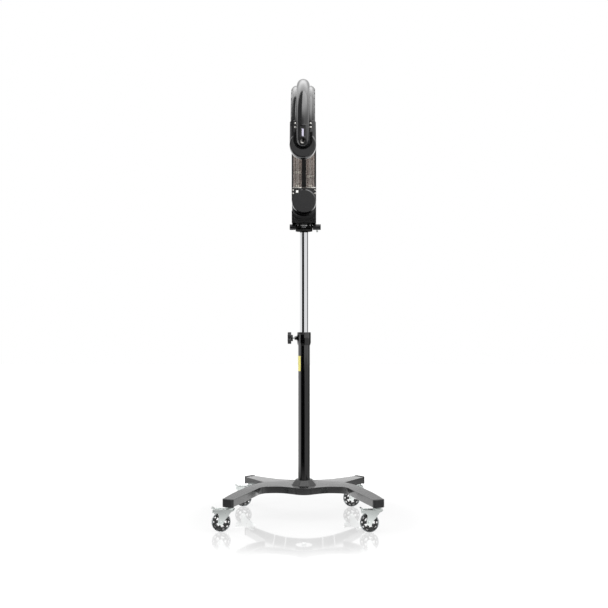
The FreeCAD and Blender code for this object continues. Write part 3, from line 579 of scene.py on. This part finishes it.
def circles(path, side, up, radius, steps):
    """Closed rings round a path's points: point + radius * (cos a * side + sin a * up), a in even steps.

    side and up are one direction, or one per point; radius is a number or has one row per point.
    """
    angle = around(steps)[:, None]
    out = np.cos(angle) * side[..., None, :] + np.sin(angle) * up[..., None, :]
    return path[:, None, :] + radius * out


def ring_about(axis, centre, along, radius, steps=48):
    """Rings about an axis through centre: along has one value per ring, and radius one, or one per step."""
    side, up, way = np.roll(np.eye(3), -1 - "XYZ".index(axis), axis=0)
    path = np.array(centre, float) + np.asarray(along)[:, None] * way
    return circles(path, side, up, np.asarray(radius, float).reshape(len(path), -1, 1), steps)


def along_path(path, radius, steps=10):
    """A round wire along any smooth path: circles square to it.

    The ring's first direction is square to the path and to a fixed guide.
    """
    ahead = np.gradient(path, axis=0)
    ahead /= np.linalg.norm(ahead, axis=1, keepdims=True)
    side = np.cross(ahead, np.array([0.3, 0.5, 0.81]))
    side /= np.linalg.norm(side, axis=1, keepdims=True)
    return circles(path, side, np.cross(side, ahead), radius, steps)


def quarter_round(edge, steps):
    """A quarter circle that rounds an edge: the way in from the end, and the drop from the full size."""
    angle = np.linspace(0.0, QUARTER, steps)
    return edge * (1 - np.cos(angle)), edge * (1 - np.sin(angle))


def rounded_ends(start, end, radius, edge, steps=5, drop_share=1.0):
    """Along and radius of a bar with rounded ends: quarter circles of radius edge at both.

    With a drop_share other than 1 they are quarter ellipses, that much as deep.
    """
    inward, drop = quarter_round(edge, steps)
    drop = drop * drop_share
    return (np.concatenate([start + inward, end - inward[::-1]]),
            np.concatenate([radius - drop, radius - drop[::-1]]))


# ---- pieces of the stand
def tyre(place):
    """A ring of rubber: its section is a flat rectangle with rounded outer shoulders and a low crown.

    The shoulders are quarter ellipses and the crown falls with the square of the way from the middle.
    """
    crown = 0.3 * MM
    node = "tyre_" + place
    half = half_size(node)
    bore = half_size("wheel_core_" + place).x
    along, radius = rounded_ends(-half.y, half.y, half.x, chosen("stand").tyre_shoulder, 7, 0.8)
    radius -= crown * (along / half.y) ** 2
    along = np.append(along, [half.y, -half.y])
    radius = np.append(radius, [bore, bore])
    stand_in(node + "_moulded", [ring_about("Y", middle(node), along, radius, 72)], node, loop=True)


class PROCESSOR_OT_base(Operator):
    """Finish the cast base, its leg ends and the foot cover"""
    bl_idname = "processor.base"
    bl_label = "Base and foot cover"

    def execute(self, context):
        soften_each(base_frame=0.9, leg_end_caps=1.0, foot_cover=0.8)
        dress("caster_stems", "column_bolt")
        return {"FINISHED"}


class PROCESSOR_OT_casters(Operator):
    """Finish the four casters and mould their tyres"""
    bl_idname = "processor.casters"
    bl_label = "Casters"

    def execute(self, context):
        for place in CASTERS:
            soften("fork_" + place, 0.4)
            soften("brake_" + place, 0.5)
            soften("wheel_core_" + place, 0.4)
            tyre(place)
        return {"FINISHED"}


def clamp_knob():
    """The height knob: six lobes round the grip, then a plain neck.

    The grip's radius is a mean plus a cosine of six times the angle, less a small rounding at both ends.
    """
    swell, edge, steps = 4.2 * MM, 2.2 * MM, 144
    neck, neck_r, chamfer = 7 * MM, 13.5 * MM, 0.8 * MM
    low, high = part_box("height_knob")
    along, fall = rounded_ends(low.x, high.x - neck, 0.0, edge, 6)
    along = np.append(along, [high.x - neck, high.x - chamfer, high.x])
    lobes = (high.z - low.z) / 2 - swell + swell * np.cos(6 * (around(steps) - QUARTER))
    bare = np.array([neck_r, neck_r, neck_r - chamfer])[:, None] * np.ones(steps)
    table = np.concatenate([lobes + fall[:, None], bare])
    grid = ring_about("X", (0, 0, middle("height_knob").z), along, table, steps)
    stand_in("height_knob_moulded", [grid], "height_knob")


def clamp_screw():
    """The clamp screw: its radius follows a cosine along the bar that shifts once a turn, as a thread."""
    half_depth, steps, rings_per_turn = 0.3 * MM, 24, 8
    low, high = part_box("knob_screw")
    pitch = chosen("stand").thread_pitch
    along = np.linspace(low.x, high.x, int((high.x - low.x) / pitch * rings_per_turn))
    wave = np.cos(TURN * along[:, None] / pitch - around(steps))
    radius = (high.z - low.z) / 2 - half_depth * (1 - wave)
    grid = ring_about("X", (0, 0, middle("knob_screw").z), along, radius, steps)
    stand_in("knob_screw_thread", [grid], "knob_screw")


def height_mark():
    """A thin band on the left of the outer tube: part of a cylinder, with its own small thickness."""
    inner, outer = 0.02 * MM, 0.25 * MM
    radius = half_size("outer_column").x
    angle = np.linspace(math.radians(186), math.radians(236), 16)
    arc = np.stack([np.cos(angle), np.sin(angle)], -1)
    outline = np.concatenate([(radius + outer) * arc, (radius + inner) * arc[::-1]])
    levels = (chosen("stand").mark_low, chosen("stand").mark_high)
    grid = np.stack([np.insert(outline, 2, z, axis=1) for z in levels])
    extra("height_mark", [grid], "outer_column", mark_vinyl, slot="grey_plastic")


class PROCESSOR_OT_column(Operator):
    """Finish the two tubes, the collar and the guide, and make the clamp knob and its screw"""
    bl_idname = "processor.column"
    bl_label = "Column"

    def execute(self, context):
        dress("outer_column", "inner_column", "column_guide", "collar_bush")
        soften("height_collar", 0.5)
        clamp_knob()
        clamp_screw()
        height_mark()
        return {"FINISHED"}


# ---- tilt joint and hub
def coil_spring():
    """A round wire along a helix: the angle grows evenly with X, and the radius stays the same."""
    wire_r, turns = 1.3 * MM, 4.3
    low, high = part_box("tilt_spring")
    radius = (high.y - low.y) / 2 - wire_r
    t = np.linspace(0.0, 1.0, 160)
    angle = TURN * turns * t
    x = low.x + wire_r + (high.x - low.x - 2 * wire_r) * t
    path = np.stack([x, radius * np.cos(angle), middle("tilt_axle").z + radius * np.sin(angle)], -1)
    stand_in("tilt_spring_wire", [along_path(path, wire_r)], "tilt_spring")


def bracket_web():
    """A low web that joins the bracket's ears behind the spring: a flat bar with rounded edges.

    In section its radius is that of a superellipse, about an axis along X.
    """
    half_y, half_z, power, reach = 1.3 * MM, 5.3 * MM, 6, 27.3 * MM
    centre = (0, 13.5 * MM, 1220.8 * MM)
    steps, rings = 48, 12
    y_part = (np.abs(np.cos(around(steps))) / half_y) ** power
    z_part = (np.abs(np.sin(around(steps))) / half_z) ** power
    radius = np.tile((y_part + z_part) ** (-1 / power), (rings, 1))
    bar = ring_about("X", centre, np.linspace(-reach, reach, rings), radius, steps)
    extra("bracket_web", [bar], "swivel_bracket", heat_paint)


def knurled_bar(start, end, radius, centre):
    """A bar with a diamond knurl: the radius drops where either of two crossing helices has its groove."""
    teeth, depth, edge = 36, 0.35 * MM, 1.0 * MM
    steps, rings, half = 192, 40, 5
    ends, mean = rounded_ends(start, end, radius, edge, half)
    between = np.linspace(ends[half - 1], ends[half], rings + 2)[1:-1]
    along = np.concatenate([ends[:half], between, ends[half:]])
    mean = np.concatenate([mean[:half], np.full(rings, radius), mean[half:]])
    lead = along[:, None] * teeth / (2 * radius)
    one, other = (np.abs(np.sin(teeth / 2 * around(steps) + sign * lead)) for sign in (1, -1))
    return ring_about("X", centre, along, mean[:, None] - depth * (1 - np.minimum(one, other)), steps)


def tilt_grip():
    """The tilt knob: a knurled grip and its plain cross pin."""
    pin_x, pin_r, pin_edge = 56 * MM, 3.6 * MM, 0.8 * MM
    low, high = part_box("tilt_knob")
    axis_z = middle("tilt_axle").z
    radius = (high.y - low.y) / 2
    grip = knurled_bar(low.x, high.x, radius, (0, 0, axis_z))
    pin_along, pin_radius = rounded_ends(low.z, axis_z - 0.8 * radius, pin_r, pin_edge)
    pin = ring_about("Z", (pin_x, 0, 0), pin_along, pin_radius, 24)
    stand_in("tilt_grip_knurled", [grip], "tilt_knob")
    extra("tilt_grip_pin", [pin], "tilt_knob", slot="zinc_steel")


def tilt_head():
    """The head of the tilt bolt, knurled like the grip, over the plain head of the bolt."""
    inner_end = -36.6 * MM
    low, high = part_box("tilt_axle")
    grip = knurled_bar(low.x, inner_end, (high.y - low.y) / 2, (0, 0, middle("tilt_axle").z))
    extra("tilt_head_knurled", [grip], "tilt_axle", slot="black_plastic")


class PROCESSOR_OT_tilt_joint(Operator):
    """Finish the bracket and the yoke, wind the spring and knurl the tilt knob"""
    bl_idname = "processor.tilt_joint"
    bl_label = "Tilt joint"

    def execute(self, context):
        soften("swivel_bracket", 0.5, heat_paint)
        soften("tilt_axle", 0.6)
        soften("tilt_yoke", 0.4, heat_paint)
        bracket_web()
        coil_spring()
        tilt_grip()
        tilt_head()
        return {"FINISHED"}


def pan_head(centre, facing, radius, height):
    """A domed screw head with a cross recess; facing is -1 or 1 along Y.

    The dome falls with the square of the way out. The cross, whose arms have a fixed half width and stop at
    arm_end of the radius, is a fixed part of the height deep. The last ring is the rim's foot.
    """
    fall, depth, arm, arm_end = 0.45, 0.45, 0.16, 0.62
    steps = 40
    share = np.append(np.linspace(0.04, 0.97, 14), [1.0, 1.0])[:, None]
    u = share * np.cos(around(steps))
    v = share * np.sin(around(steps))
    cross = (np.minimum(np.abs(u), np.abs(v)) < arm) & (np.maximum(np.abs(u), np.abs(v)) < arm_end)
    dome = height * (1 - fall * (u ** 2 + v ** 2) - depth * cross)
    dome[-1] = 0.0
    return np.stack([centre[0] + radius * u, centre[1] + facing * dome, centre[2] + radius * v], -1)


def screw_heads(name, node, front, rows, facing, height, make=bright_nickel, spread=0.0):
    """Domed heads on the outer faces of plain screws, each wider than its screw by spread all round.

    The screws are those before or behind the middle of the node, on the left and right, in 1 or 2 rows.
    """
    sunk = 0.3 * MM
    points = vertices_of(node)
    split = (points[:, 1].min() + points[:, 1].max()) / 2
    points = points[(points[:, 1] < split) == front]
    level = (points[:, 2].min() + points[:, 2].max()) / 2
    grids = []
    for side in (-1, 1):
        for above in (False, True)[:rows]:
            inside = (points[:, 0] * side > 0) & ((rows == 1) | ((points[:, 2] > level) == above))
            low, high = points[inside].min(axis=0), points[inside].max(axis=0)
            centre = (low + high) / 2
            centre[1] = (high[1] if facing > 0 else low[1]) - facing * sunk
            grids.append(pan_head(centre, facing, (high[0] - low[0]) / 2 + spread, height))
    extra(name, grids, node, make)


def rocker_marks():
    """The signs for on and off: a round bar below and a ring above, half sunk in the rocker's face.

    They are laid out about the rocker's pivot, on a face that comes out by slope both up and down, and
    turned with it by the angle of the off position.
    """
    pivot = np.array([middle("power_switch").x, 113 * MM, 1271 * MM])
    lean = math.radians(-8)
    face, slope = 5.1 * MM, 1 / 6
    wire_r, ring_r, ring_z = 0.35 * MM, 1.7 * MM, 4.8 * MM
    cos, sin = math.cos(lean), math.sin(lean)
    turned = np.array([[1, 0, 0], [0, cos, -sin], [0, sin, cos]])
    level = np.linspace(-6.6, -3.2, 8) * MM
    bar = np.stack([0 * level, face - slope * level, level], -1)
    a = around(32)[:, None]
    b = around(10)
    spread = ring_r + wire_r * np.cos(b)
    height = ring_z + spread * np.sin(a)
    ring = np.stack([spread * np.cos(a), face + slope * height + wire_r * np.sin(b), height], -1)
    for name, grid, loop in (("mark_on", along_path(bar, wire_r), False), ("mark_off", ring, True)):
        extra(name, [pivot + grid @ turned.T], "power_switch", white_ink, loop=loop)


class PROCESSOR_OT_hub(Operator):
    """Finish the hub's housings, the inlet, the switch and the cover screws"""
    bl_idname = "processor.hub"
    bl_label = "Swing hub"

    def execute(self, context):
        soften("hub_saddle", 0.9, textured_abs)
        soften_each(gearbox_housing=0.6, rear_cover=0.8, mains_inlet=0.4, power_switch=0.4)
        rocker_marks()
        dress("hub_screws", make=black_oxide)
        screw_heads("hub_screw_heads", "hub_screws", False, 2, 1, 0.9 * MM)
        screw_heads("saddle_screw_heads", "hub_screws", True, 1, -1, 0.9 * MM, black_oxide)
        return {"FINISHED"}


class PROCESSOR_OT_drive(Operator):
    """Finish the swing drive inside the hub"""
    bl_idname = "processor.drive"
    bl_label = "Swing drive"

    def execute(self, context):
        dress("swing_bearing", "swing_motor", "motor_pinion", "control_board", "swing_shaft", "swing_gear")
        return {"FINISHED"}


# ---- hooked arm
class PROCESSOR_OT_casing(Operator):
    """Finish the spine, the side shells and the two pods"""
    bl_idname = "processor.casing"
    bl_label = "Arm casing"

    def execute(self, context):
        dress("spine_tube")
        soften_each(spine_nose=0.8, side_shell_right=0.4, side_shell_left=0.4, front_pod=0.9, root_pod=0.9)
        return {"FINISHED"}


def guard_end_strips():
    """Two bright strips with rounded edges over the lower end bars of the guard, on the root pod.

    Each is a bar along X whose section is a rounded rectangle: a power of the cosine and of the sine.
    """
    half_y, half_z, power, edge, taper = 0.7 * MM, 2.1 * MM, 0.4, 0.4 * MM, 0.8
    bar_height, centre_in, centre_up = 2.4 * MM, 0.45 * MM, 2.0 * MM
    points = vertices_of("guard_wires")
    bars = points[(points[:, 2] < points[:, 2].min() + bar_height) & (points[:, 1] > BEND[1])]
    low, high = bars.min(axis=0), bars.max(axis=0)
    inner = np.abs(bars[:, 0]).min()
    square = np.stack([np.cos(around(24)), np.sin(around(24))])
    square = np.sign(square) * np.abs(square) ** power
    share = np.array([taper, 1.0, 1.0, taper])[:, None]
    grids = []
    for start, end in ((low[0], -inner), (inner, high[0])):
        x = np.array([start, start + edge, end - edge, end])[:, None] * np.ones(24)
        grids.append(np.stack([x, low[1] + centre_in + half_y * share * square[0],
                               low[2] + centre_up + half_z * share * square[1]], -1))
    extra("guard_end_strips", grids, "guard_wires", bright_nickel)


def quartz_tubes():
    """Each heater's glass: an outer and an inner round wall along the same path, joined at the ends.

    The path goes straight up the back leg, round half a circle and straight down the front leg.
    """
    wall = chosen("arm").quartz_wall
    angle = np.linspace(0.0, math.pi, 60)
    out = np.stack([0 * angle, np.cos(angle), np.sin(angle)], -1)
    out = np.concatenate([out[:1], out, out[-1:]])
    path = BEND + TUBE_BEND_R * out
    path[[0, -1], 2] = TUBE_BACK_Z, TUBE_FRONT_Z
    grids = []
    for x in (-TUBE_X, TUBE_X):
        outer, inner = (circles(path + x * ACROSS, ACROSS, out, r, 20) for r in (TUBE_R, TUBE_R - wall))
        grids.append(np.concatenate([outer, inner[::-1]]))
    stand_in("quartz_tubes", grids, "heater_tubes", loop=True)


def filaments():
    """The heating coil in each tube: a helix about the tube's path, one turn every filament pitch.

    Along the path at distance s the coil stands at angle TURN * s / pitch in the plane of X and the way out.
    """
    inset, steps_per_turn = 10 * MM, 8
    arm = chosen("arm")
    coil_r = TUBE_R - arm.quartz_wall - arm.filament_wire
    back_run = BEND[2] - TUBE_BACK_Z
    bend_run = math.pi * TUBE_BEND_R
    total = back_run + bend_run + BEND[2] - TUBE_FRONT_Z
    count = int((total - 2 * inset) / arm.filament_pitch * steps_per_turn)
    s = np.linspace(inset, total - inset, count)
    bend = np.clip((s - back_run) / TUBE_BEND_R, 0.0, math.pi)
    out = np.stack([0 * s, np.cos(bend), np.sin(bend)], -1)
    centre = BEND + TUBE_BEND_R * out
    centre[:, 2] -= np.clip(back_run - s, 0.0, None) + np.clip(s - back_run - bend_run, 0.0, None)
    phase = (TURN * s / arm.filament_pitch)[:, None]
    coil = centre + coil_r * (np.cos(phase) * ACROSS + np.sin(phase) * out)
    grids = [along_path(coil + x * ACROSS, arm.filament_wire / 2, 5) for x in (-TUBE_X, TUBE_X)]
    extra("filament_coils", grids, "guard_wires", heating_wire)


class PROCESSOR_OT_heaters(Operator):
    """Make the quartz tubes, their heating coils and the wire guards, and finish the reflectors"""
    bl_idname = "processor.heaters"
    bl_label = "Heaters and guards"

    def execute(self, context):
        dress("reflectors", "heater_holders", "guard_wires")
        dress("centre_rib", make=heat_paint)
        quartz_tubes()
        filaments()
        guard_end_strips()
        return {"FINISHED"}


def control_dial():
    """The dial: a fluted rim, a flat ring and a shallow round dish in its face, on a shaft.

    The rim's radius falls in each of thirty flutes; the dish is a paraboloid.
    """
    shaft_r, edge, thickness = 3 * MM, 1.1 * MM, 5.6 * MM
    flutes, flute_depth, steps = 30, 0.35 * MM, 180
    low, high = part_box("control_dial")
    reach = (high.z - low.z) / 2
    share = np.linspace(1.0, 0.02, 10)
    inward, drop = quarter_round(edge, 5)
    y = np.concatenate([[high.y, low.y + thickness, low.y + thickness], low.y + drop,
                        low.y + DISH_DEPTH * (1 - share ** 2)])
    mean = np.concatenate([[shaft_r, shaft_r, reach], reach - inward, DISH_R * share])
    fluted = np.concatenate([[0, 0, 1], np.ones(4), [0.6], np.zeros(10)])[:, None]
    wave = flute_depth * (0.5 - 0.5 * np.cos(flutes * around(steps)))
    grid = ring_about("Y", (0, 0, middle("control_dial").z), y, mean[:, None] - fluted * wave, steps)
    stand_in("control_dial_moulded", [grid], "control_dial", textured_abs)


def dial_insert():
    """A dished metal disc in the face of the dial: two like paraboloids, one a little before the other. Its
    pale metal stands in for the highlight on the dial's glossy face: a painted highlight.
    """
    thickness, sunk, gap = 0.25 * MM, 0.3 * MM, 0.4 * MM
    share = np.linspace(0.02, 1.0, 12)
    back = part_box("control_dial")[0].y + DISH_DEPTH * (1 - share ** 2)
    y = np.concatenate([back, back[::-1] - thickness]) + sunk
    radius = np.concatenate([share, share[::-1]]) * (DISH_R - gap)
    grid = ring_about("Y", (0, 0, middle("control_dial").z), y, radius, 96)
    # the insert's pale metal is a painted highlight on the dial's face
    extra("dial_insert", [grid], "control_dial", satin_nickel)


def window_bezel():
    """A thin square frame round the pilot light: each ring of points is one of the square's outlines."""
    # How far each outline stands outside the window and in front of it, in millimetres.
    outlines = ((0.3, -0.2), (0.3, 0.2), (-1.3, 0.35), (-1.6, 0.2), (-1.6, -0.2))
    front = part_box("pilot_window")[0].y
    corner = np.array([[-1, -1], [1, -1], [1, 1], [-1, 1]], float)
    half, centre = half_size("pilot_window"), middle("pilot_window")
    rings = []
    for out, rise in outlines:
        flat = corner * (np.array([half.x, half.z]) + out * MM) + np.array([centre.x, centre.z])
        rings.append(np.insert(flat, 1, front - rise * MM, axis=1))
    extra("window_bezel", [np.stack(rings)], "front_pod", textured_abs, loop=True)


class PROCESSOR_OT_controls(Operator):
    """Finish the light bar, the dial, the pilot window and the arm's screws"""
    bl_idname = "processor.controls"
    bl_label = "Controls and screws"

    def execute(self, context):
        dress("light_bar", "pilot_window", "arm_screws")
        control_dial()
        dial_insert()
        window_bezel()
        for name, front in (("front_screw_heads", True), ("root_screw_heads", False)):
            screw_heads(name, "arm_screws", front, 2, -1, 1.6 * MM, spread=0.7 * MM)
        return {"FINISHED"}


# ---- studio
# What glossy surfaces see round the object. A row lies over those before it. Its values are: azimuth from
# and to and softness of those edges, height from and to and softness of those edges, all in degrees, and
# strength. Azimuth 0 is the front, 90 the right and 180 the back.
ROOM_ROWS = (
    (-200, 200, 1, -99, 99, 1, 1.0),
    (-200, 200, 1, 8, 99, 3, 0.55),
    (-150, -58, 5, -99, 14, 3, 1.1),
    (4, 100, 2, -99, 6, 2, 1.0),
    (100, 150, 3, -99, 12, 3, 0.1),
    (-150, -104, 5, 14, 45, 3, 1.1),
    (104, 150, 5, 12, 45, 3, 1.0),
    (-57, 4, 1.5, -99, 6.2, 0.3, 0.0),
    (-22, 14, 5, 6.2, 45, 0.3, 0.5),
    (14, 104, 5, 6, 45, 2, 0.95),
    (-104, -20, 5, 7, 84, 4, 0.2),
    (-18, 104, 6, 36, 99, 17, 3.5),
    (104, 200, 6, 42, 99, 15, 2.5),
    (-200, -100, 6, 42, 99, 15, 2.5),
)
FLOOR_ROWS = (
    (-200, 200, 1, -9, 9, 1, 0.4),
    (-150, -60, 4, -9, 9, 1, 1.3),
    (14, 98, 5, -9, 9, 1, 0.5),
    (98, 150, 4, -9, 9, 1, 0.15),
    (-61, 14, 2, -9, 9, 1, 0.0),
)
# The paper: its tone in soft light and to the camera, its roughness far from the object, and near it how
# much smoother and darker it is.
PAPER_LIT, PAPER_SEEN = "#DADADA", "#868686"
PAPER_ROUGH, PAPER_GLOSS, PAPER_SHADE = 0.6, 0.54, 0.155
# From and to which distance, in metres, the paper's gloss fades, the patch seen by glossy surfaces fades to
# its outer level, and the panels of FLOOR_ROWS take over from it.
GLOSS_FADE, PATCH_FADE, PANEL_RISE = (0.4, 0.95), (0.45, 0.75), (0.8, 1.5)
OUTER_LEVEL = 0.4
# Half the width of the floor, and how far it lies under the tyres.
FLOOR_HALF, FLOOR_DROP = 12.0, 0.5 * MM
# The soft lights: name, place, aim, width and height in metres, and the setting that holds their power.
LIGHTS = (
    ("light_left", (-2.2, -0.9, 1.2), (0, 0, CAD_BOX[1][2] / 2), 0.9, 2.2, "side_power"),
    ("light_right", (2.2, -0.9, 1.2), (0, 0, CAD_BOX[1][2] / 2), 0.9, 2.2, "side_power"),
    ("light_top", (0, -0.6, 3.6), (0, 0, 1.2), 2.4, 1.6, "top_power"),
)


def math_node(tree, operation, first, second=None, third=None):
    """A Math node; each of its inputs is a number or the output of another node."""
    node = tree.nodes.new("ShaderNodeMath")
    node.operation = operation
    for place, value in enumerate((first, second, third)):
        if isinstance(value, (int, float)):
            node.inputs[place].default_value = value
        elif value is not None:
            tree.links.new(value, node.inputs[place])
    return node.outputs[0]


def product(tree, first, second):
    return math_node(tree, "MULTIPLY", first, second)


def rest(tree, value):
    """What a value leaves of 1."""
    return math_node(tree, "SUBTRACT", 1.0, value)


def step_up(tree, value, low, high):
    """0 below low, 1 above high and an even curve between."""
    node = add_node(tree, "ShaderNodeMapRange", {"interpolation_type": "SMOOTHSTEP"},
                    {"From Min": low, "From Max": high}, {"Value": value})
    return node.outputs["Result"]


def within(tree, value, low, high, soft):
    """1 from low to high and 0 elsewhere, with soft edges."""
    return product(tree, step_up(tree, value, low - soft, low + soft),
                   rest(tree, step_up(tree, value, high - soft, high + soft)))


def panels(tree, way, rows):
    """The strength that the rows of panels have in a direction, given as the output of a vector."""
    parts = add_node(tree, "ShaderNodeSeparateXYZ", links={"Vector": way}).outputs
    azimuth = math_node(tree, "ARCTAN2", parts["X"], product(tree, parts["Y"], -1.0))
    azimuth = math_node(tree, "DEGREES", azimuth)
    height = math_node(tree, "DEGREES", math_node(tree, "ARCSINE", parts["Z"]))
    strength = 0.0
    for left, right, side_soft, low, high, rise_soft, power in rows:
        mask = product(tree, within(tree, azimuth, left, right, side_soft),
                       within(tree, height, low, high, rise_soft))
        behind = product(tree, strength, rest(tree, mask))
        strength = math_node(tree, "MULTIPLY_ADD", mask, power, behind)
    return strength


def ray_kinds(tree):
    """Whether a ray is glossy, and whether it comes from the camera or through glass."""
    rays = add_node(tree, "ShaderNodeLightPath").outputs
    return rays["Is Glossy Ray"], math_node(tree, "MAXIMUM", rays["Is Camera Ray"],
                                            rays["Is Transmission Ray"])


def studio_floor():
    """Seamless paper, white to the camera, with a soft shadow and, near the object, a faint mirror image.

    Glossy surfaces see it lit in a patch round the base and, farther out, by panels.
    """
    material = new_material()
    tree = material.node_tree
    glossy, direct = ray_kinds(tree)
    place = add_node(tree, "ShaderNodeTexCoord").outputs["Object"]
    far = add_node(tree, "ShaderNodeVectorMath", {"operation": "LENGTH"}, links={0: place}).outputs["Value"]
    level = math_node(tree, "ADD", rest(tree, step_up(tree, far, *PATCH_FADE)), OUTER_LEVEL)
    outside = step_up(tree, far, *PANEL_RISE)
    inner_part = product(tree, level, rest(tree, outside))
    seen = math_node(tree, "MULTIPLY_ADD", panels(tree, place, FLOOR_ROWS), outside, inner_part)
    near = rest(tree, step_up(tree, far, *GLOSS_FADE))
    shine = math_node(tree, "MULTIPLY_ADD", near, -PAPER_SHADE, 1.0)
    paper = add_node(tree, "ShaderNodeBsdfPrincipled", values={
        "IOR": 1.5, "Coat Roughness": 0.03, "Emission Color": WHITE}, links={
        "Base Color": mix_colours(tree, linear(PAPER_LIT), linear(PAPER_SEEN), direct), "Coat Weight": near,
        "Roughness": math_node(tree, "MULTIPLY_ADD", near, -PAPER_GLOSS, PAPER_ROUGH),
        "Emission Strength": product(tree, direct, shine)})
    mirrored = add_node(tree, "ShaderNodeEmission", links={"Strength": seen})
    choice = add_node(tree, "ShaderNodeMixShader", links={
        0: glossy, 1: paper.outputs["BSDF"], 2: mirrored.outputs[0]})
    return surfaced(material, choice)


def studio_world():
    """White all round for the camera and glass, panels for glossy surfaces, and an even light on things."""
    world = bpy.data.worlds.new("studio_room")
    world.use_nodes = True
    tree = world.node_tree
    tree.nodes.clear()
    glossy, direct = ray_kinds(tree)
    even = math_node(tree, "MAXIMUM", direct, chosen("studio").room)
    way = add_node(tree, "ShaderNodeTexCoord").outputs["Generated"]
    plain, room = (add_node(tree, "ShaderNodeBackground", values={"Color": WHITE}, links={"Strength": level})
                   for level in (even, panels(tree, way, ROOM_ROWS)))
    choice = add_node(tree, "ShaderNodeMixShader", links={0: glossy, 1: plain.outputs[0], 2: room.outputs[0]})
    add_node(tree, "ShaderNodeOutputWorld", links={"Surface": choice.outputs[0]})
    return world


def aim(thing, place, target):
    """Puts a light or the camera at a place and turns it to a target."""
    thing.location = place
    thing.rotation_euler = (Vector(target) - Vector(place)).to_track_quat("-Z", "Y").to_euler()


def soft_light(name, place, target, width, height, power):
    lamp = bpy.data.lights.new(name, "AREA")
    lamp.shape = "RECTANGLE"
    lamp.size = width
    lamp.size_y = height
    lamp.energy = power
    holder = new_object(name, lamp)
    aim(holder, place, target)
    holder.visible_camera = False
    holder.visible_glossy = False


class PROCESSOR_OT_studio(Operator):
    """Set the floor, the soft lights, the room and the camera"""
    bl_idname = "processor.studio"
    bl_label = "Studio"

    def execute(self, context):
        studio = chosen("studio")
        floor = bpy.data.meshes.new("floor")
        corners = [(x * FLOOR_HALF, y * FLOOR_HALF, 0) for x, y in ((-1, -1), (1, -1), (1, 1), (-1, 1))]
        floor.from_pydata(corners, [], [(0, 1, 2, 3)])
        floor.materials.append(material_of(studio_floor))
        ground = new_object("floor", floor)
        ground.location.z = -FLOOR_DROP
        for *light, power in LIGHTS:
            soft_light(*light, getattr(studio, power))
        context.scene.world = studio_world()
        lens = bpy.data.cameras.new("camera")
        lens.lens = studio.lens
        lens.sensor_width = 36.0
        lens.clip_end = 60.0
        camera = new_object("camera", lens)
        aim(camera, studio.camera_place, studio.camera_aim)
        context.scene.camera = camera
        context.scene.view_settings.view_transform = "Standard"
        return {"FINISHED"}


# ---- panel and registration
OPERATORS = (
    PROCESSOR_OT_base, PROCESSOR_OT_casters, PROCESSOR_OT_column, PROCESSOR_OT_tilt_joint,
    PROCESSOR_OT_hub, PROCESSOR_OT_drive, PROCESSOR_OT_casing, PROCESSOR_OT_heaters,
    PROCESSOR_OT_controls, PROCESSOR_OT_studio,
)
SETTINGS = {
    "processor_colours": PROCESSOR_PG_colours,
    "processor_arm": PROCESSOR_PG_arm,
    "processor_stand": PROCESSOR_PG_stand,
    "processor_studio": PROCESSOR_PG_studio,
}


class PROCESSOR_PT_panel(Panel):
    """Lists the pieces of the processor and their settings"""
    bl_idname = "PROCESSOR_PT_panel"
    bl_label = "Hair Color Processor"
    bl_space_type = "VIEW_3D"
    bl_region_type = "UI"
    bl_category = "Processor"

    def draw(self, context):
        for operator in OPERATORS:
            self.layout.operator(operator.bl_idname, text=operator.bl_label)
        for group in SETTINGS:
            box = self.layout.box()
            values = getattr(context.scene, group)
            for name in values.__annotations__:
                box.prop(values, name)


def register():
    for group, kind in SETTINGS.items():
        bpy.utils.register_class(kind)
        setattr(bpy.types.Scene, group, PointerProperty(type=kind))
    for kind in (*OPERATORS, PROCESSOR_PT_panel):
        bpy.utils.register_class(kind)


def unregister():
    for kind in reversed((*OPERATORS, PROCESSOR_PT_panel)):
        bpy.utils.unregister_class(kind)
    for group, kind in SETTINGS.items():
        delattr(bpy.types.Scene, group)
        bpy.utils.unregister_class(kind)


def main():
    register()
    for operator in OPERATORS:
        getattr(bpy.ops.processor, operator.bl_idname.partition(".")[2])()


if __name__ == "__main__":
    main()
